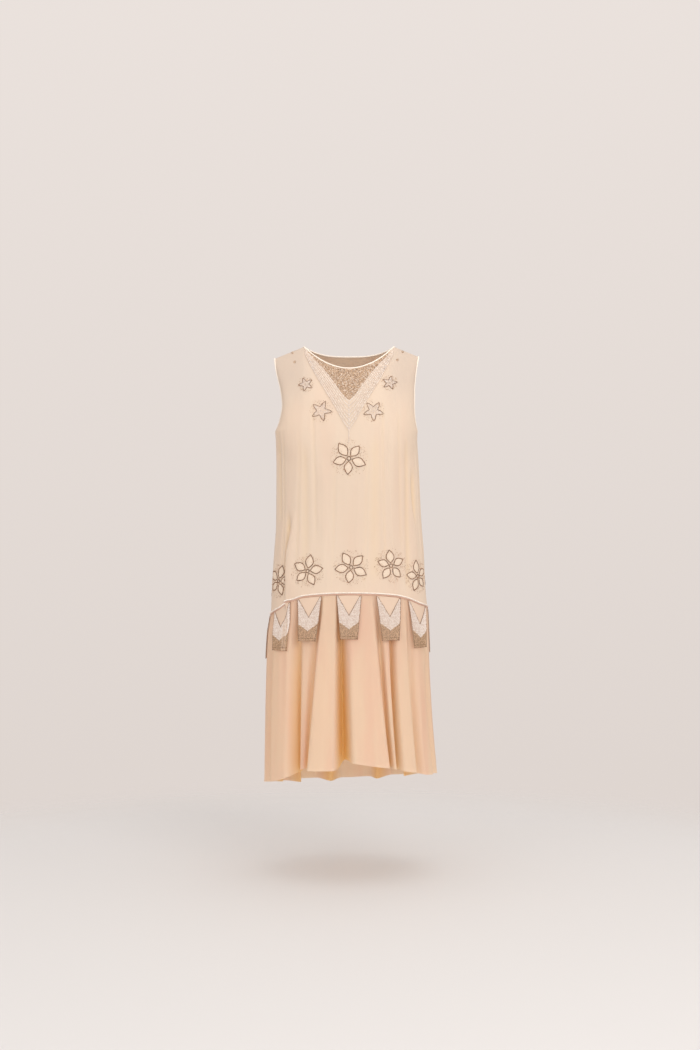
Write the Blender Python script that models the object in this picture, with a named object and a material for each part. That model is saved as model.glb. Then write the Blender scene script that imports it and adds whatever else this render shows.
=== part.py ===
# A sleeveless drop-waist dress: two bodice panels, a beaded V at the neck, a hip seam with
# ten hanging tabs, and a flounce that falls in uneven flares.
# Lengths in the tables are millimetres, and the solids are metres. +Z is up, the front
# faces -Y, and the origin lies between the two neck points, at the height of the shoulders.
# A place round the body is a turn in degrees: 0 in front, 90 at +X, 180 behind, -90 at -X.

from collections import namedtuple
import math

import bpy
import numpy as np

MM = 0.001

# Cloth and seams
WALL = 1.2
SEAM_GAP = 0.3
EDGE_GAP = 0.45
SECTION_POWER = 2.4
SMALL_STEP = 0.5
TURN_TOLERANCE = 0.1
ACROSS_TOLERANCE = 0.5
SIDE_TOLERANCE = 1e-6
SIDE_BAND = 1.0
BACK_SIDE_TURN = 90.0001
BODICE_FOLD_FADE = 60.0
SHARP_EDGE_ANGLE = 50.0

# Neck and armholes
NECK_HALF_WIDTH = 113.0
SHOULDER_DROP = 30.0
SHOULDER_TIP = 186.0
FIRST_INSET_X = 103.0
ARMHOLE_BOTTOM = -214.0
ARMHOLE_EDGE_SHARE = 0.6
ARMHOLE_BOW = 8.0
HOLE_FADE = 130.0
SLOPE_LOW = -320.0
SLOPE_FADE = 220.0
NOTCH_POWER = 8
BACK_NECK_DEPTH = 22.0
BINDING_RADIUS = 1.6
BINDING_GAP = 0.9
BAND_LIFT = 0.5
BAND_THICKNESS = 1.5
BAND_ROWS = 5
BAND_END_DROP = 12.0
BAND_END_SLOPE = 0.3

# Hip seam, tabs and flounce
PIPING_HALF_HEIGHT = 4.0
PIPING_HALF_DEPTH = 2.0
PIPING_LIFT = 0.6
PIPING_COLUMNS = 96
PIPING_FIRST_TURN = -179.0
FOLD_START = 0.012
FOLD_GROWTH = 0.8
RIDGE_SHOULDER = 0.8
TAB_COUNT = 10
FRONT_TAB_ARCS = (0.0, 96.0, 176.0)
TAB_TOP_WIDTH = 60.0
TAB_BOTTOM_WIDTH = 40.0
TAB_LENGTH = 109.0
TAB_LIFT = 0.5
TAB_SWING = 1.5
TAB_FALL = 0.2
TAB_TOP_FALL = 0.08
TAB_CLEAR_TURN = 4.0
ARC_COLUMNS = 721

Width = namedtuple("Width", "height left right")
WIDTHS = (
    Width(-1110, 204, 214),
    Width(-1060, 204, 213),
    Width(-1000, 204, 209),
    Width(-915, 204, 203),
    Width(-790, 203, 198),
    Width(-720, 201, 197),
    Width(-668, 195, 196),
    Width(-592, 192, 190),
    Width(-517, 187, 187),
    Width(-442, 182, 181),
    Width(-300, 181, 174),
    Width(-214, 183, 170),
    Width(-112, 184, 171),
    Width(-27, 186, 173),
)

# How far each armhole's edge lies inside those widths.
Notch = namedtuple("Notch", "height left right")
NOTCHES = (
    Notch(-214, 0, 0),
    Notch(-200, 8, 4),
    Notch(-180, 15, 8),
    Notch(-150, 20, 10),
    Notch(-112, 16, 10),
    Notch(-82, 9, 8),
    Notch(-57, 4, 5),
    Notch(-27, 0, 0),
)

Depth = namedtuple("Depth", "drop front back")
DEPTHS = (
    Depth(0, 0, 0),
    Depth(5, 14, 14),
    Depth(15, 26, 27),
    Depth(30, 40, 43),
    Depth(60, 61, 65),
    Depth(100, 82, 85),
    Depth(140, 97.5, 97),
    Depth(180, 107.5, 104.5),
    Depth(215, 114, 109),
    Depth(260, 118.5, 111),
    Depth(300, 119.5, 110.5),
    Depth(330, 118.5, 108.5),
    Depth(420, 111, 103),
    Depth(500, 107, 106),
    Depth(600, 111, 116),
    Depth(680, 118, 121),
    Depth(800, 133, 134),
    Depth(900, 146, 146),
    Depth(1000, 155, 155),
    Depth(1110, 160, 162),
)

# The neck's lines across the front: distance from the middle, and three heights there.
NeckLine = namedtuple("NeckLine", "across neck v_inner v_outer")
NECK_LINES = (
    NeckLine(0, -60, -142, -221),
    NeckLine(12, -59.5, -131, -203),
    NeckLine(29, -56, -108, -170),
    NeckLine(46, -50, -84, -141),
    NeckLine(59, -44, -67, -119),
    NeckLine(75, -34, -48, -92),
    NeckLine(91, -22, -32, -62),
    NeckLine(103, -10.5, -16, -36),
    NeckLine(113, 0, -1, -12),
)

SeamPoint = namedtuple("SeamPoint", "turn hip hem")
SEAM_POINTS = (
    SeamPoint(-180, -672, -1106),
    SeamPoint(-130, -673, -1104),
    SeamPoint(-90, -668, -1083),
    SeamPoint(-60, -650, -1070),
    SeamPoint(-47, -634, -1058),
    SeamPoint(-30, -618, -1034),
    SeamPoint(-6, -611.5, -1030),
    SeamPoint(0, -611, -1012),
    SeamPoint(12, -612, -1020),
    SeamPoint(30, -616, -1033),
    SeamPoint(47, -626, -1045),
    SeamPoint(60, -637, -1053),
    SeamPoint(90, -650, -1062),
    SeamPoint(130, -662, -1086),
    SeamPoint(180, -672, -1106),
)

# Soft folds in the bodice: a ridge where push is more than 0, and else a trough.
BodiceFold = namedtuple("BodiceFold", "top_turn low_turn half_width push top low")
BODICE_FOLDS = (
    BodiceFold(-44, -43, 4.5, 4.5, -430, -598),
    BodiceFold(-52, -51, 5.0, -6.0, -430, -600),
    BodiceFold(-33, -31, 6.0, -2.0, -260, -580),
    BodiceFold(-17, -14, 7.0, 2.0, -300, -578),
    BodiceFold(18, 15, 7.0, -2.2, -240, -578),
    BodiceFold(34, 30, 6.0, 2.6, -230, -582),
    BodiceFold(52, 46, 5.0, -3.0, -250, -592),
    BodiceFold(61, 61, 6.0, -5.0, -320, -430),
    BodiceFold(-70, -66, 6.0, -3.0, -225, -430),
    BodiceFold(150, 140, 8.0, -3.0, -260, -640),
    BodiceFold(176, 178, 9.0, 3.0, -240, -640),
    BodiceFold(-150, -142, 8.0, -3.0, -260, -640),
)

# The flounce's valleys, each with the ridge that follows it as the turn grows. Each has a
# turn at the seam and one at the hem, and depths and ridges are at the hem. Flank is the
# part of the way to the next valley that each side takes, and curl is how far the ridge
# leans over its valleys there.
Flare = namedtuple("Flare", "seam_turn turn depth ridge flank curl columns")
FLARES = (
    Flare(-110, -110, 28, 7, 0.30, 5, 10),
    Flare(-70, -70, 10, 9, 0.26, 5, 8),
    Flare(-34, -37, 44, -16, 0.40, 1, 6),
    Flare(-17, -27.5, 26, 20, 0.24, 7, 10),
    Flare(-4, -2.5, 62, 24, 0.22, 10, 12),
    Flare(16, 25, 22, 3, 0.36, 1, 5),
    Flare(27, 30, 38, 12, 0.28, 5, 8),
    Flare(44, 48, 12, 8, 0.30, 4, 7),
    Flare(74, 74, 14, 6, 0.30, 4, 8),
    Flare(106, 106, 28, 8, 0.30, 5, 10),
    Flare(136, 134, 34, 14, 0.32, 5, 10),
    Flare(161, 162, 36, 16, 0.32, 5, 10),
    Flare(192, 191, 38, 16, 0.32, 5, 10),
    Flare(219, 221, 34, 9, 0.30, 5, 10),
)

FALL_ROWS = (0.0, 0.03, 0.08, 0.16, 0.28, 0.42, 0.58, 0.78, 1.0)

Finish = namedtuple("Finish", "colour roughness")
PEACH_CLOTH = Finish((0.84, 0.62, 0.46), 0.75)
GOLD_BEADS = Finish((0.47, 0.33, 0.22), 0.45)
WHITE_BEADS = Finish((0.80, 0.74, 0.69), 0.35)
CREAM_BINDING = Finish((0.86, 0.76, 0.64), 0.6)
TAB_BEADS = Finish((0.62, 0.48, 0.36), 0.4)


def smooth_curve(xs, ys):
    """Return a curve through the points that doesn't swing past them."""
    xs = np.array(xs, float)
    ys = np.array(ys, float)
    steps = np.diff(xs)
    rises = np.diff(ys) / steps
    slopes = np.zeros(len(xs))
    slopes[0] = rises[0]
    slopes[-1] = rises[-1]
    for i in range(1, len(xs) - 1):
        if rises[i - 1] * rises[i] > 0:
            slopes[i] = 2 * rises[i - 1] * rises[i] / (rises[i - 1] + rises[i])

    def at(x):
        x = np.clip(x, xs[0], xs[-1])
        i = np.clip(np.searchsorted(xs, x, side="right") - 1, 0, len(steps) - 1)
        u = (x - xs[i]) / steps[i]
        start = ys[i] * (1 + 2 * u) * (1 - u) ** 2 + slopes[i] * steps[i] * u * (1 - u) ** 2
        end = ys[i + 1] * u**2 * (3 - 2 * u) - slopes[i + 1] * steps[i] * u**2 * (1 - u)
        return start + end

    return at


def column(rows, name):
    """Return one named column of a table."""
    return [getattr(row, name) for row in rows]


LEFT_WIDTH = smooth_curve(column(WIDTHS, "height"), column(WIDTHS, "left"))
RIGHT_WIDTH = smooth_curve(column(WIDTHS, "height"), column(WIDTHS, "right"))
LEFT_NOTCH = smooth_curve(column(NOTCHES, "height"), column(NOTCHES, "left"))
RIGHT_NOTCH = smooth_curve(column(NOTCHES, "height"), column(NOTCHES, "right"))
DROP_ROOTS = np.sqrt(column(DEPTHS, "drop"))
FRONT_DEPTH = smooth_curve(DROP_ROOTS, column(DEPTHS, "front"))
BACK_DEPTH = smooth_curve(DROP_ROOTS, column(DEPTHS, "back"))
NECK_LINE = smooth_curve(column(NECK_LINES, "across"), column(NECK_LINES, "neck"))
V_INNER = smooth_curve(column(NECK_LINES, "across"), column(NECK_LINES, "v_inner"))
V_OUTER = smooth_curve(column(NECK_LINES, "across"), column(NECK_LINES, "v_outer"))
HIP_HEIGHT = smooth_curve(column(SEAM_POINTS, "turn"), column(SEAM_POINTS, "hip"))
HEM_HEIGHT = smooth_curve(column(SEAM_POINTS, "turn"), column(SEAM_POINTS, "hem"))


def ease(u):
    """Go smoothly from 0 to 1 as u does."""
    u = np.clip(u, 0, 1)
    return u * u * (3 - 2 * u)


def wrapped(turn):
    """Return the turn between -180 and 180."""
    return (np.asarray(turn, float) + 180) % 360 - 180


def shoulder_height(x):
    """Height of the shoulder line over a distance from the middle."""
    beyond = np.clip(np.abs(x) - NECK_HALF_WIDTH, 0, None)
    return -SHOULDER_DROP * beyond / (SHOULDER_TIP - NECK_HALF_WIDTH)


def bodice_fold_push(turn, height):
    """How far the bodice's soft folds push the cloth out."""
    push = np.zeros(np.broadcast(turn, height).shape)
    for fold in BODICE_FOLDS:
        share = np.clip((fold.top - height) / (fold.top - fold.low), 0, 1)
        middle = fold.top_turn + (fold.low_turn - fold.top_turn) * share
        across = np.clip(np.abs(wrapped(turn - middle)) / fold.half_width, 0, 1)
        fade_in = ease((fold.top - height) / BODICE_FOLD_FADE + 0.5)
        fade_out = ease((height - fold.low) / BODICE_FOLD_FADE + 0.5)
        push = push + fold.push * (1 - ease(across)) * fade_in * fade_out
    return push


def body_point(turn, height):
    """The dress's plain form: a point for a turn and a height, in mm."""
    turn = wrapped(turn)
    angle = np.radians(turn)
    power = 2 / SECTION_POWER
    across = np.sign(angle) * np.abs(np.sin(angle)) ** power
    along = np.abs(np.cos(angle)) ** power
    width = np.where(turn < 0, LEFT_WIDTH(height), RIGHT_WIDTH(height))
    notch = np.where(turn < 0, LEFT_NOTCH(height), RIGHT_NOTCH(height))
    x = across * width - np.sign(across) * notch * np.abs(across) ** NOTCH_POWER
    slope_share = ease((height - SLOPE_LOW) / SLOPE_FADE)
    drop = np.clip(shoulder_height(x) * slope_share - height, 0, None)
    front = np.abs(turn) <= 90 + SIDE_TOLERANCE
    depth = np.where(front, FRONT_DEPTH(np.sqrt(drop)), BACK_DEPTH(np.sqrt(drop)))
    tip = -SHOULDER_DROP
    low_end = ARMHOLE_BOTTOM - HOLE_FADE * along
    hole = np.clip((tip - height) / (tip - low_end), 0, 1)
    edge = ARMHOLE_EDGE_SHARE * (1 - hole**4) ** (0.5 + 2 * along)
    y = depth * (edge + (1 - edge) * along) + SEAM_GAP / 2
    y = np.where(front, -y, y)
    push = bodice_fold_push(turn, height)
    return np.stack([x + push * np.sin(angle), y - push * np.cos(angle), height + 0 * x], -1)


def ring_frame(turn, height):
    """A point of the plain form with its outward and sideways directions."""
    here = body_point(turn, height)
    ahead = body_point(turn + SMALL_STEP, height)
    behind = body_point(turn - SMALL_STEP, height)
    sideways = ahead - behind
    sideways[..., 2] = 0
    sideways /= np.linalg.norm(sideways, axis=-1, keepdims=True)
    outward = np.stack([sideways[..., 1], -sideways[..., 0], 0 * sideways[..., 0]], -1)
    return here, outward, sideways


def top_of_column(turn, line):
    """Height at which a column of the panel meets a line given by its distance across."""
    height = np.zeros(np.shape(turn))
    for _ in range(12):
        height = line(body_point(turn, height)[..., 0])
    return height


def front_top(x):
    """Upper edge of the bodice front: the V, then the shoulder line."""
    inside = np.abs(x) < NECK_HALF_WIDTH
    return np.where(inside, V_INNER(np.abs(x)), shoulder_height(x))


def front_band_low(x):
    """Lower edge of the beaded V, and a line that goes on from it across the shoulder."""
    beyond = np.clip(np.abs(x) - NECK_HALF_WIDTH, 0, None)
    inside = np.abs(x) < NECK_HALF_WIDTH
    end = shoulder_height(x) - BAND_END_DROP - BAND_END_SLOPE * beyond
    return np.where(inside, V_OUTER(np.abs(x)), end)


def back_top(x):
    """Upper edge of the bodice back: a shallow scoop, then the shoulder line."""
    share = np.clip(np.abs(x) / NECK_HALF_WIDTH, 0, 1)
    scoop = -BACK_NECK_DEPTH * (1 - share**3)
    return np.where(share < 1, scoop, shoulder_height(x))


def turn_of_neck_point(side):
    """Turn of the column that meets the shoulder line at the neck point."""
    width = RIGHT_WIDTH(0.0) if side > 0 else LEFT_WIDTH(0.0)
    share = (NECK_HALF_WIDTH / width) ** (SECTION_POWER / 2)
    return side * math.degrees(math.asin(share))


def column_turns(cells_to_neck, cells_to_side):
    """Turns of a panel's columns, with one at each neck point."""
    left = turn_of_neck_point(-1)
    right = turn_of_neck_point(1)
    parts = (
        np.linspace(-90, left, cells_to_side, endpoint=False),
        np.linspace(left, 0, cells_to_neck, endpoint=False),
        np.linspace(0, right, cells_to_neck, endpoint=False),
        np.linspace(right, 90, cells_to_side + 1),
    )
    return np.concatenate(parts)


def grid_between(upper, lower, shares):
    """Heights of a panel's rows between an upper and a lower edge."""
    return upper[None, :] + (lower - upper)[None, :] * np.asarray(shares)[:, None]


def grid_normals(points):
    """Outward directions at the points of a grid whose columns go to +X in front."""
    along_columns = np.gradient(points, axis=1)
    along_rows = np.gradient(points, axis=0)
    normals = np.cross(along_rows, along_columns)
    return normals / np.linalg.norm(normals, axis=-1, keepdims=True)


def add_object(name, vertices, faces, finish):
    """Make one object from points in mm and give it its own material."""
    mesh = bpy.data.meshes.new(name)
    mesh.from_pydata([tuple(MM * v for v in vertex) for vertex in vertices], [], faces)
    mesh.validate()
    mesh.shade_smooth()
    mesh.set_sharp_from_angle(angle=math.radians(SHARP_EDGE_ANGLE))
    material = bpy.data.materials.new(name)
    material.use_nodes = True
    shader = material.node_tree.nodes["Principled BSDF"]
    shader.inputs["Base Color"].default_value = (*finish.colour, 1.0)
    shader.inputs["Roughness"].default_value = finish.roughness
    shader.inputs["Metallic"].default_value = 0.0
    mesh.materials.append(material)
    piece = bpy.data.objects.new(name, mesh)
    bpy.context.scene.collection.objects.link(piece)
    return piece


def wall_faces(rows, columns, closed):
    """Faces of a wall: an outer and an inner grid, and the edges that join them."""
    inner = rows * columns
    faces = []
    last = columns if closed else columns - 1
    for row in range(rows - 1):
        for col in range(last):
            beside = (col + 1) % columns
            quad = (
                row * columns + col,
                (row + 1) * columns + col,
                (row + 1) * columns + beside,
                row * columns + beside,
            )
            for half in (quad[:3], (quad[0], *quad[2:])):
                faces.append(half)
                faces.append(tuple(inner + corner for corner in reversed(half)))
    for col in range(last):
        beside = (col + 1) % columns
        low = (rows - 1) * columns
        faces.append((col, beside, inner + beside, inner + col))
        faces.append((low + beside, low + col, inner + low + col, inner + low + beside))
    if not closed:
        for row in range(rows - 1):
            here = row * columns
            below = here + columns
            end = columns - 1
            faces.append((below, here, inner + here, inner + below))
            faces.append((here + end, below + end, inner + below + end, inner + here + end))
    return faces


def add_wall(name, outer, inner, finish):
    """Make a cloth wall from its outer and inner grids of points."""
    rows, columns = outer.shape[:2]
    vertices = np.concatenate([outer.reshape(-1, 3), inner.reshape(-1, 3)])
    return add_object(name, vertices, wall_faces(rows, columns, False), finish)


def add_tube(name, path, outward, finish, half_height, half_depth, sides=6):
    """Make a closed ring with an oval section along a closed path."""
    count = len(path)
    tangent = np.roll(path, -1, axis=0) - np.roll(path, 1, axis=0)
    tangent /= np.linalg.norm(tangent, axis=1, keepdims=True)
    outward = outward - tangent * np.sum(outward * tangent, axis=1, keepdims=True)
    outward /= np.linalg.norm(outward, axis=1, keepdims=True)
    upward = np.cross(outward, tangent)
    vertices = []
    for i in range(count):
        for side in range(sides):
            angle = 2 * math.pi * (side + 0.5) / sides
            spread = outward[i] * math.cos(angle) * half_depth
            vertices.append(path[i] + spread + upward[i] * math.sin(angle) * half_height)
    faces = []
    for i in range(count):
        after = (i + 1) % count
        for side in range(sides):
            beside = (side + 1) % sides
            corners = (i * sides + side, after * sides + side)
            faces.append((*corners, after * sides + beside, i * sides + beside))
    return add_object(name, vertices, faces, finish)


def front_grid():
    """Turns and heights of the bodice front, with rows along the V band's two edges."""
    turns = column_turns(10, 8)
    top = top_of_column(turns, front_top)
    band_low = top_of_column(turns, front_band_low)
    armhole = np.full(len(turns), ARMHOLE_BOTTOM - ARMHOLE_BOW)
    armhole[[0, -1]] = ARMHOLE_BOTTOM
    hip = HIP_HEIGHT(turns) + SEAM_GAP
    to_armhole = np.sin(np.linspace(0, math.pi / 2, 9))[1:]
    heights = np.concatenate(
        [
            grid_between(top, band_low, np.linspace(0, 1, BAND_ROWS) ** 1.3),
            grid_between(band_low, armhole, to_armhole),
            grid_between(armhole, hip, np.linspace(0, 1, 12)[1:]),
        ]
    )
    return turns, heights


def add_front_bodice():
    """Make the front panel and the beaded V that lies on it."""
    turns, heights = front_grid()
    points = body_point(turns[None, :], heights)
    normals = grid_normals(points)
    inner = points - normals * WALL
    inner[..., 1] = np.minimum(inner[..., 1], -SEAM_GAP / 2)
    add_wall("front_bodice", points, inner, PEACH_CLOTH)
    inside = (turns > turn_of_neck_point(-1) + TURN_TOLERANCE) & (turns < turn_of_neck_point(1) - TURN_TOLERANCE)
    band = points[:BAND_ROWS, inside]
    away = normals[:BAND_ROWS, inside]
    under = band + away * BAND_LIFT
    over = band + away * (BAND_LIFT + BAND_THICKNESS)
    add_wall("neck_v_band", over, under, WHITE_BEADS)


def inset_turns():
    """Turns of the inset's columns, the same as those of the front panel."""
    turns = column_turns(10, 8)
    x = body_point(turns, top_of_column(turns, front_top))[:, 0]
    return turns[np.abs(x) <= FIRST_INSET_X + ACROSS_TOLERANCE]


def neck_front_line(x):
    """Height of the finished neck edge across the front."""
    return NECK_LINE(np.abs(x))


def add_neck_inset():
    """Make the beaded inset between the V and the neck edge."""
    turns = inset_turns()
    low = top_of_column(turns, front_top) + EDGE_GAP
    high = top_of_column(turns, neck_front_line)
    heights = grid_between(high, low, np.linspace(0, 1, 6))
    points = body_point(turns[None, :], heights)
    inner = points - grid_normals(points) * WALL
    add_wall("neck_inset", points, inner, GOLD_BEADS)


def back_grid():
    """Turns and heights of the bodice back, from the neck to the hip seam."""
    turns = 180 - column_turns(6, 7)[::-1]
    turns[[0, -1]] = (BACK_SIDE_TURN, 360 - BACK_SIDE_TURN)
    top = top_of_column(turns, back_top)
    armhole = np.full(len(turns), ARMHOLE_BOTTOM - ARMHOLE_BOW)
    armhole[[0, -1]] = ARMHOLE_BOTTOM
    hip = HIP_HEIGHT(wrapped(turns)) + SEAM_GAP
    upper = (1 - np.cos(np.linspace(0, math.pi, 12))) / 2
    heights = np.concatenate(
        [
            grid_between(top, armhole, upper),
            grid_between(armhole, hip, np.linspace(0, 1, 10)[1:]),
        ]
    )
    return turns, heights


def add_back_bodice():
    """Make the back panel."""
    turns, heights = back_grid()
    points = body_point(turns[None, :], heights)
    inner = points - grid_normals(points) * WALL
    inner[..., 1] = np.maximum(inner[..., 1], SEAM_GAP / 2)
    add_wall("back_bodice", points, inner, PEACH_CLOTH)


def edge_frame(turns, heights):
    """Points of an edge with the plain form's outward direction there."""
    here = body_point(turns, heights)
    at_side = np.abs(np.abs(wrapped(turns)) - 90) < SIDE_BAND
    inward = np.where(at_side, np.sign(wrapped(turns)), 0.0)
    back = np.abs(wrapped(turns)) > 90 + SIDE_TOLERANCE
    nudge = np.where(back, 1.0, -1.0) * inward
    beside = np.where(inward == 0, turns + SMALL_STEP, turns + nudge)
    flip = np.where(inward == 0, 1.0, nudge)
    across = (body_point(beside, heights) - here) * flip[:, None]
    below = body_point(turns, heights - SMALL_STEP) - here
    outward = np.cross(below, across)
    return here, outward / np.linalg.norm(outward, axis=-1, keepdims=True)


def add_binding(name, turns, heights):
    """Make the rolled binding that runs round an opening's edge."""
    edge, outward = edge_frame(turns, heights)
    tangent = np.roll(edge, -1, axis=0) - np.roll(edge, 1, axis=0)
    away = np.cross(tangent, outward)
    away /= np.linalg.norm(away, axis=1, keepdims=True)
    middle = edge.mean(axis=0)
    if np.sum((middle - edge) * away) < 0:
        away = -away
    path = edge - outward * WALL / 2 + away * (BINDING_RADIUS + BINDING_GAP)
    add_tube(name, path, outward, CREAM_BINDING, BINDING_RADIUS, BINDING_RADIUS)


def add_neck_binding():
    """Make the binding round the neck."""
    front = column_turns(10, 8)
    x = body_point(front, top_of_column(front, neck_front_line))[:, 0]
    front = front[np.abs(x) <= NECK_HALF_WIDTH + ACROSS_TOLERANCE]
    back = 180 - column_turns(6, 7)[::-1]
    back = back[7:-7]
    turns = np.concatenate([front, back])
    heights = np.concatenate(
        [top_of_column(front, neck_front_line), top_of_column(back, back_top)]
    )
    add_binding("neck_binding", turns, heights)


def add_armhole_bindings():
    """Make the bindings round the two armholes."""
    front = front_grid()[1]
    back = back_grid()[1]
    sides = (
        ("armhole_binding_left", -1, front[:, 0], back[:, -1]),
        ("armhole_binding_right", 1, front[:, -1], back[:, 0]),
    )
    for name, side, front_edge, back_edge in sides:
        down = front_edge[front_edge >= ARMHOLE_BOTTOM]
        up = back_edge[back_edge > ARMHOLE_BOTTOM + SIDE_TOLERANCE][:0:-1]
        turns = np.concatenate([np.full(len(down), 90.0), np.full(len(up), BACK_SIDE_TURN)])
        add_binding(name, turns * side, np.concatenate([down, up]))


def add_hip_piping():
    """Make the double row of piping on the hip seam, as one ring."""
    turns = PIPING_FIRST_TURN + np.linspace(0, 360, PIPING_COLUMNS, endpoint=False)
    here, outward, _ = ring_frame(turns, HIP_HEIGHT(turns))
    path = here + outward * (PIPING_HALF_DEPTH + PIPING_LIFT)
    add_tube("hip_piping", path, outward, WHITE_BEADS, PIPING_HALF_HEIGHT, PIPING_HALF_DEPTH)


def flare_columns():
    """Two turns, and push and lean at the hem, for each column of the flounce."""
    columns = []
    for i, flare in enumerate(FLARES):
        after = FLARES[(i + 1) % len(FLARES)]
        seam_span = (after.seam_turn - flare.seam_turn) % 360
        span = (after.turn - flare.turn) % 360
        for step in range(flare.columns):
            way = (1 - math.cos(math.pi * step / flare.columns)) / 2
            flank = ease(min(way, 1 - way) / flare.flank)
            valley = -(flare.depth + (after.depth - flare.depth) * way)
            crown = flare.ridge * (RIDGE_SHOULDER + (1 - RIDGE_SHOULDER) * math.sin(math.pi * way))
            push = valley + (crown - valley) * flank
            lean = -flare.curl * flank * math.cos(math.pi * way)
            turns = (flare.seam_turn + seam_span * way, flare.turn + span * way)
            columns.append((*turns, float(push), float(lean)))
    return np.array(columns)


def fold_growth(fall):
    """How far the flounce's folds have opened, from the seam to the hem."""
    start = np.clip((fall - FOLD_START) / (1 - FOLD_START), 0, 1)
    return start**FOLD_GROWTH


def flounce_point(columns, fall):
    """Points of the flounce for its columns and shares of the way down."""
    seam_turn, hem_turn, push, lean = columns.T
    turn = seam_turn + (hem_turn - seam_turn) * fall
    hip = HIP_HEIGHT(wrapped(turn)) - SEAM_GAP
    height = hip + (HEM_HEIGHT(wrapped(turn)) - hip) * fall
    here, outward, sideways = ring_frame(turn, height)
    growth = fold_growth(fall)
    out = push * growth
    aside = lean * growth
    return here + outward * out[:, None] + sideways * aside[:, None]


def add_flounce():
    """Make the front and back halves of the flounce."""
    columns = flare_columns()
    turns = columns[:, 1]
    right = int(np.argmin(np.abs(turns - 90)))
    left = int(np.argmin(np.abs(turns + 90)))
    points = np.stack([flounce_point(columns, fall) for fall in FALL_ROWS])
    doubled = np.concatenate([points, points], axis=1)
    count = len(columns)
    front = doubled[:, left : right + 1].copy()
    back = doubled[:, right : left + count + 1].copy()
    for name, grid, side in (("skirt_front", front, -1), ("skirt_back", back, 1)):
        shift = side * SEAM_GAP / 2
        inner = grid - grid_normals(grid) * WALL
        for edge in (0, -1):
            plane = grid[:, edge, 1].copy()
            grid[:, edge, 1] = plane + shift
            inner[:, edge, 1] = plane + shift
        add_wall(name, grid, inner, PEACH_CLOTH)


def arc_of_turns():
    """Turns all round the hip seam and the arc length up to each."""
    turns = np.linspace(-180, 180, ARC_COLUMNS)
    ring = body_point(turns, np.full(ARC_COLUMNS, HIP_HEIGHT(0.0)))
    arcs = np.concatenate([[0], np.cumsum(np.linalg.norm(np.diff(ring, axis=0), axis=1))])
    return turns, arcs - np.interp(0, turns, arcs)


def tab_arc(number, around):
    """Arc from the front's middle to a tab: the front's tabs are the closest."""
    steps = number if number <= TAB_COUNT / 2 else number - TAB_COUNT
    near = min(abs(steps), len(FRONT_TAB_ARCS) - 1)
    last = FRONT_TAB_ARCS[-1]
    spacing = (around / 2 - last) / (TAB_COUNT / 2 - len(FRONT_TAB_ARCS) + 1)
    return math.copysign(FRONT_TAB_ARCS[near] + (abs(steps) - near) * spacing, steps)


def crown_under(turn):
    """The flounce's greatest push at the hem in the stretch that a tab covers."""
    seam_turn, hem_turn, push, _ = flare_columns().T
    middle = turn[len(turn) // 2]
    reach = np.max(np.abs(wrapped(turn - middle))) + TAB_CLEAR_TURN
    at_tab = seam_turn + (hem_turn - seam_turn) * TAB_FALL
    covered = np.abs(wrapped(at_tab - middle)) <= reach
    return max(float(push[covered].max()), 0.0)


def add_tabs():
    """Make the ten tabs that hang from the hip seam, clear of the flounce's ridges."""
    turns, arcs = arc_of_turns()
    around = arcs[-1] - arcs[0]
    for number in range(TAB_COUNT):
        middle = tab_arc(number, around)
        middle_turn = np.interp((middle - arcs[0]) % around + arcs[0], arcs, turns)
        hip = HIP_HEIGHT(middle_turn)
        fall = TAB_LENGTH / (hip - HEM_HEIGHT(middle_turn))
        outer = []
        inner = []
        for down in np.linspace(0, 1, 6):
            half = (TAB_TOP_WIDTH + (TAB_BOTTOM_WIDTH - TAB_TOP_WIDTH) * down) / 2
            arc = (middle + np.linspace(-half, half, 6) - arcs[0]) % around + arcs[0]
            turn = np.interp(arc, arcs, turns)
            top = HIP_HEIGHT(turn) - PIPING_HALF_HEIGHT - EDGE_GAP
            here, outward, _ = ring_frame(turn, top + (hip - TAB_LENGTH - top) * down)
            reach = fall * (TAB_TOP_FALL + (1 - TAB_TOP_FALL) * down)
            crown = crown_under(turn) * fold_growth(reach)
            lift = TAB_LIFT + crown + TAB_SWING * down
            outer.append(here + outward * (lift + WALL))
            inner.append(here + outward * lift)
        add_wall(f"tab_{number + 1:02d}", np.stack(outer), np.stack(inner), TAB_BEADS)


def main():
    """Build every piece."""
    for old in list(bpy.data.objects):
        bpy.data.objects.remove(old, do_unlink=True)
    add_front_bodice()
    add_neck_inset()
    add_back_bodice()
    add_neck_binding()
    add_armhole_bindings()
    add_hip_piping()
    add_flounce()
    add_tabs()


main()
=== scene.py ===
# The looks of a sleeveless drop-waist evening dress: silk panels, a beaded neck, beaded
# flowers, hanging tabs and a flared flounce. Table lengths are millimetres. A place round
# the body is a turn in degrees: 0 in front, 90 at +X, 180 behind and -90 at -X.

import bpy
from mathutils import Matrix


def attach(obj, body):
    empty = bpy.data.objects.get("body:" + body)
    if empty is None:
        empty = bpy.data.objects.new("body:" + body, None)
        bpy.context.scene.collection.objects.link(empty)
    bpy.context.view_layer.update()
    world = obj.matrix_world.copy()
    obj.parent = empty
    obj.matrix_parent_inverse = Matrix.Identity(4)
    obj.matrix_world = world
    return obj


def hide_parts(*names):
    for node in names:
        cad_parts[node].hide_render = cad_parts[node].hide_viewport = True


bl_info = {
    "name": "Beaded evening dress",
    "version": (1, 0, 0),
    "blender": (4, 5, 0),
    "location": "3D View > Sidebar > Dress",
    "description": "Builds a sleeveless drop-waist silk dress with beadwork",
    "category": "Object",
}

from collections import namedtuple
import math

import bpy
import numpy as np
from bpy.props import FloatProperty, FloatVectorProperty, IntProperty, PointerProperty

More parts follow.
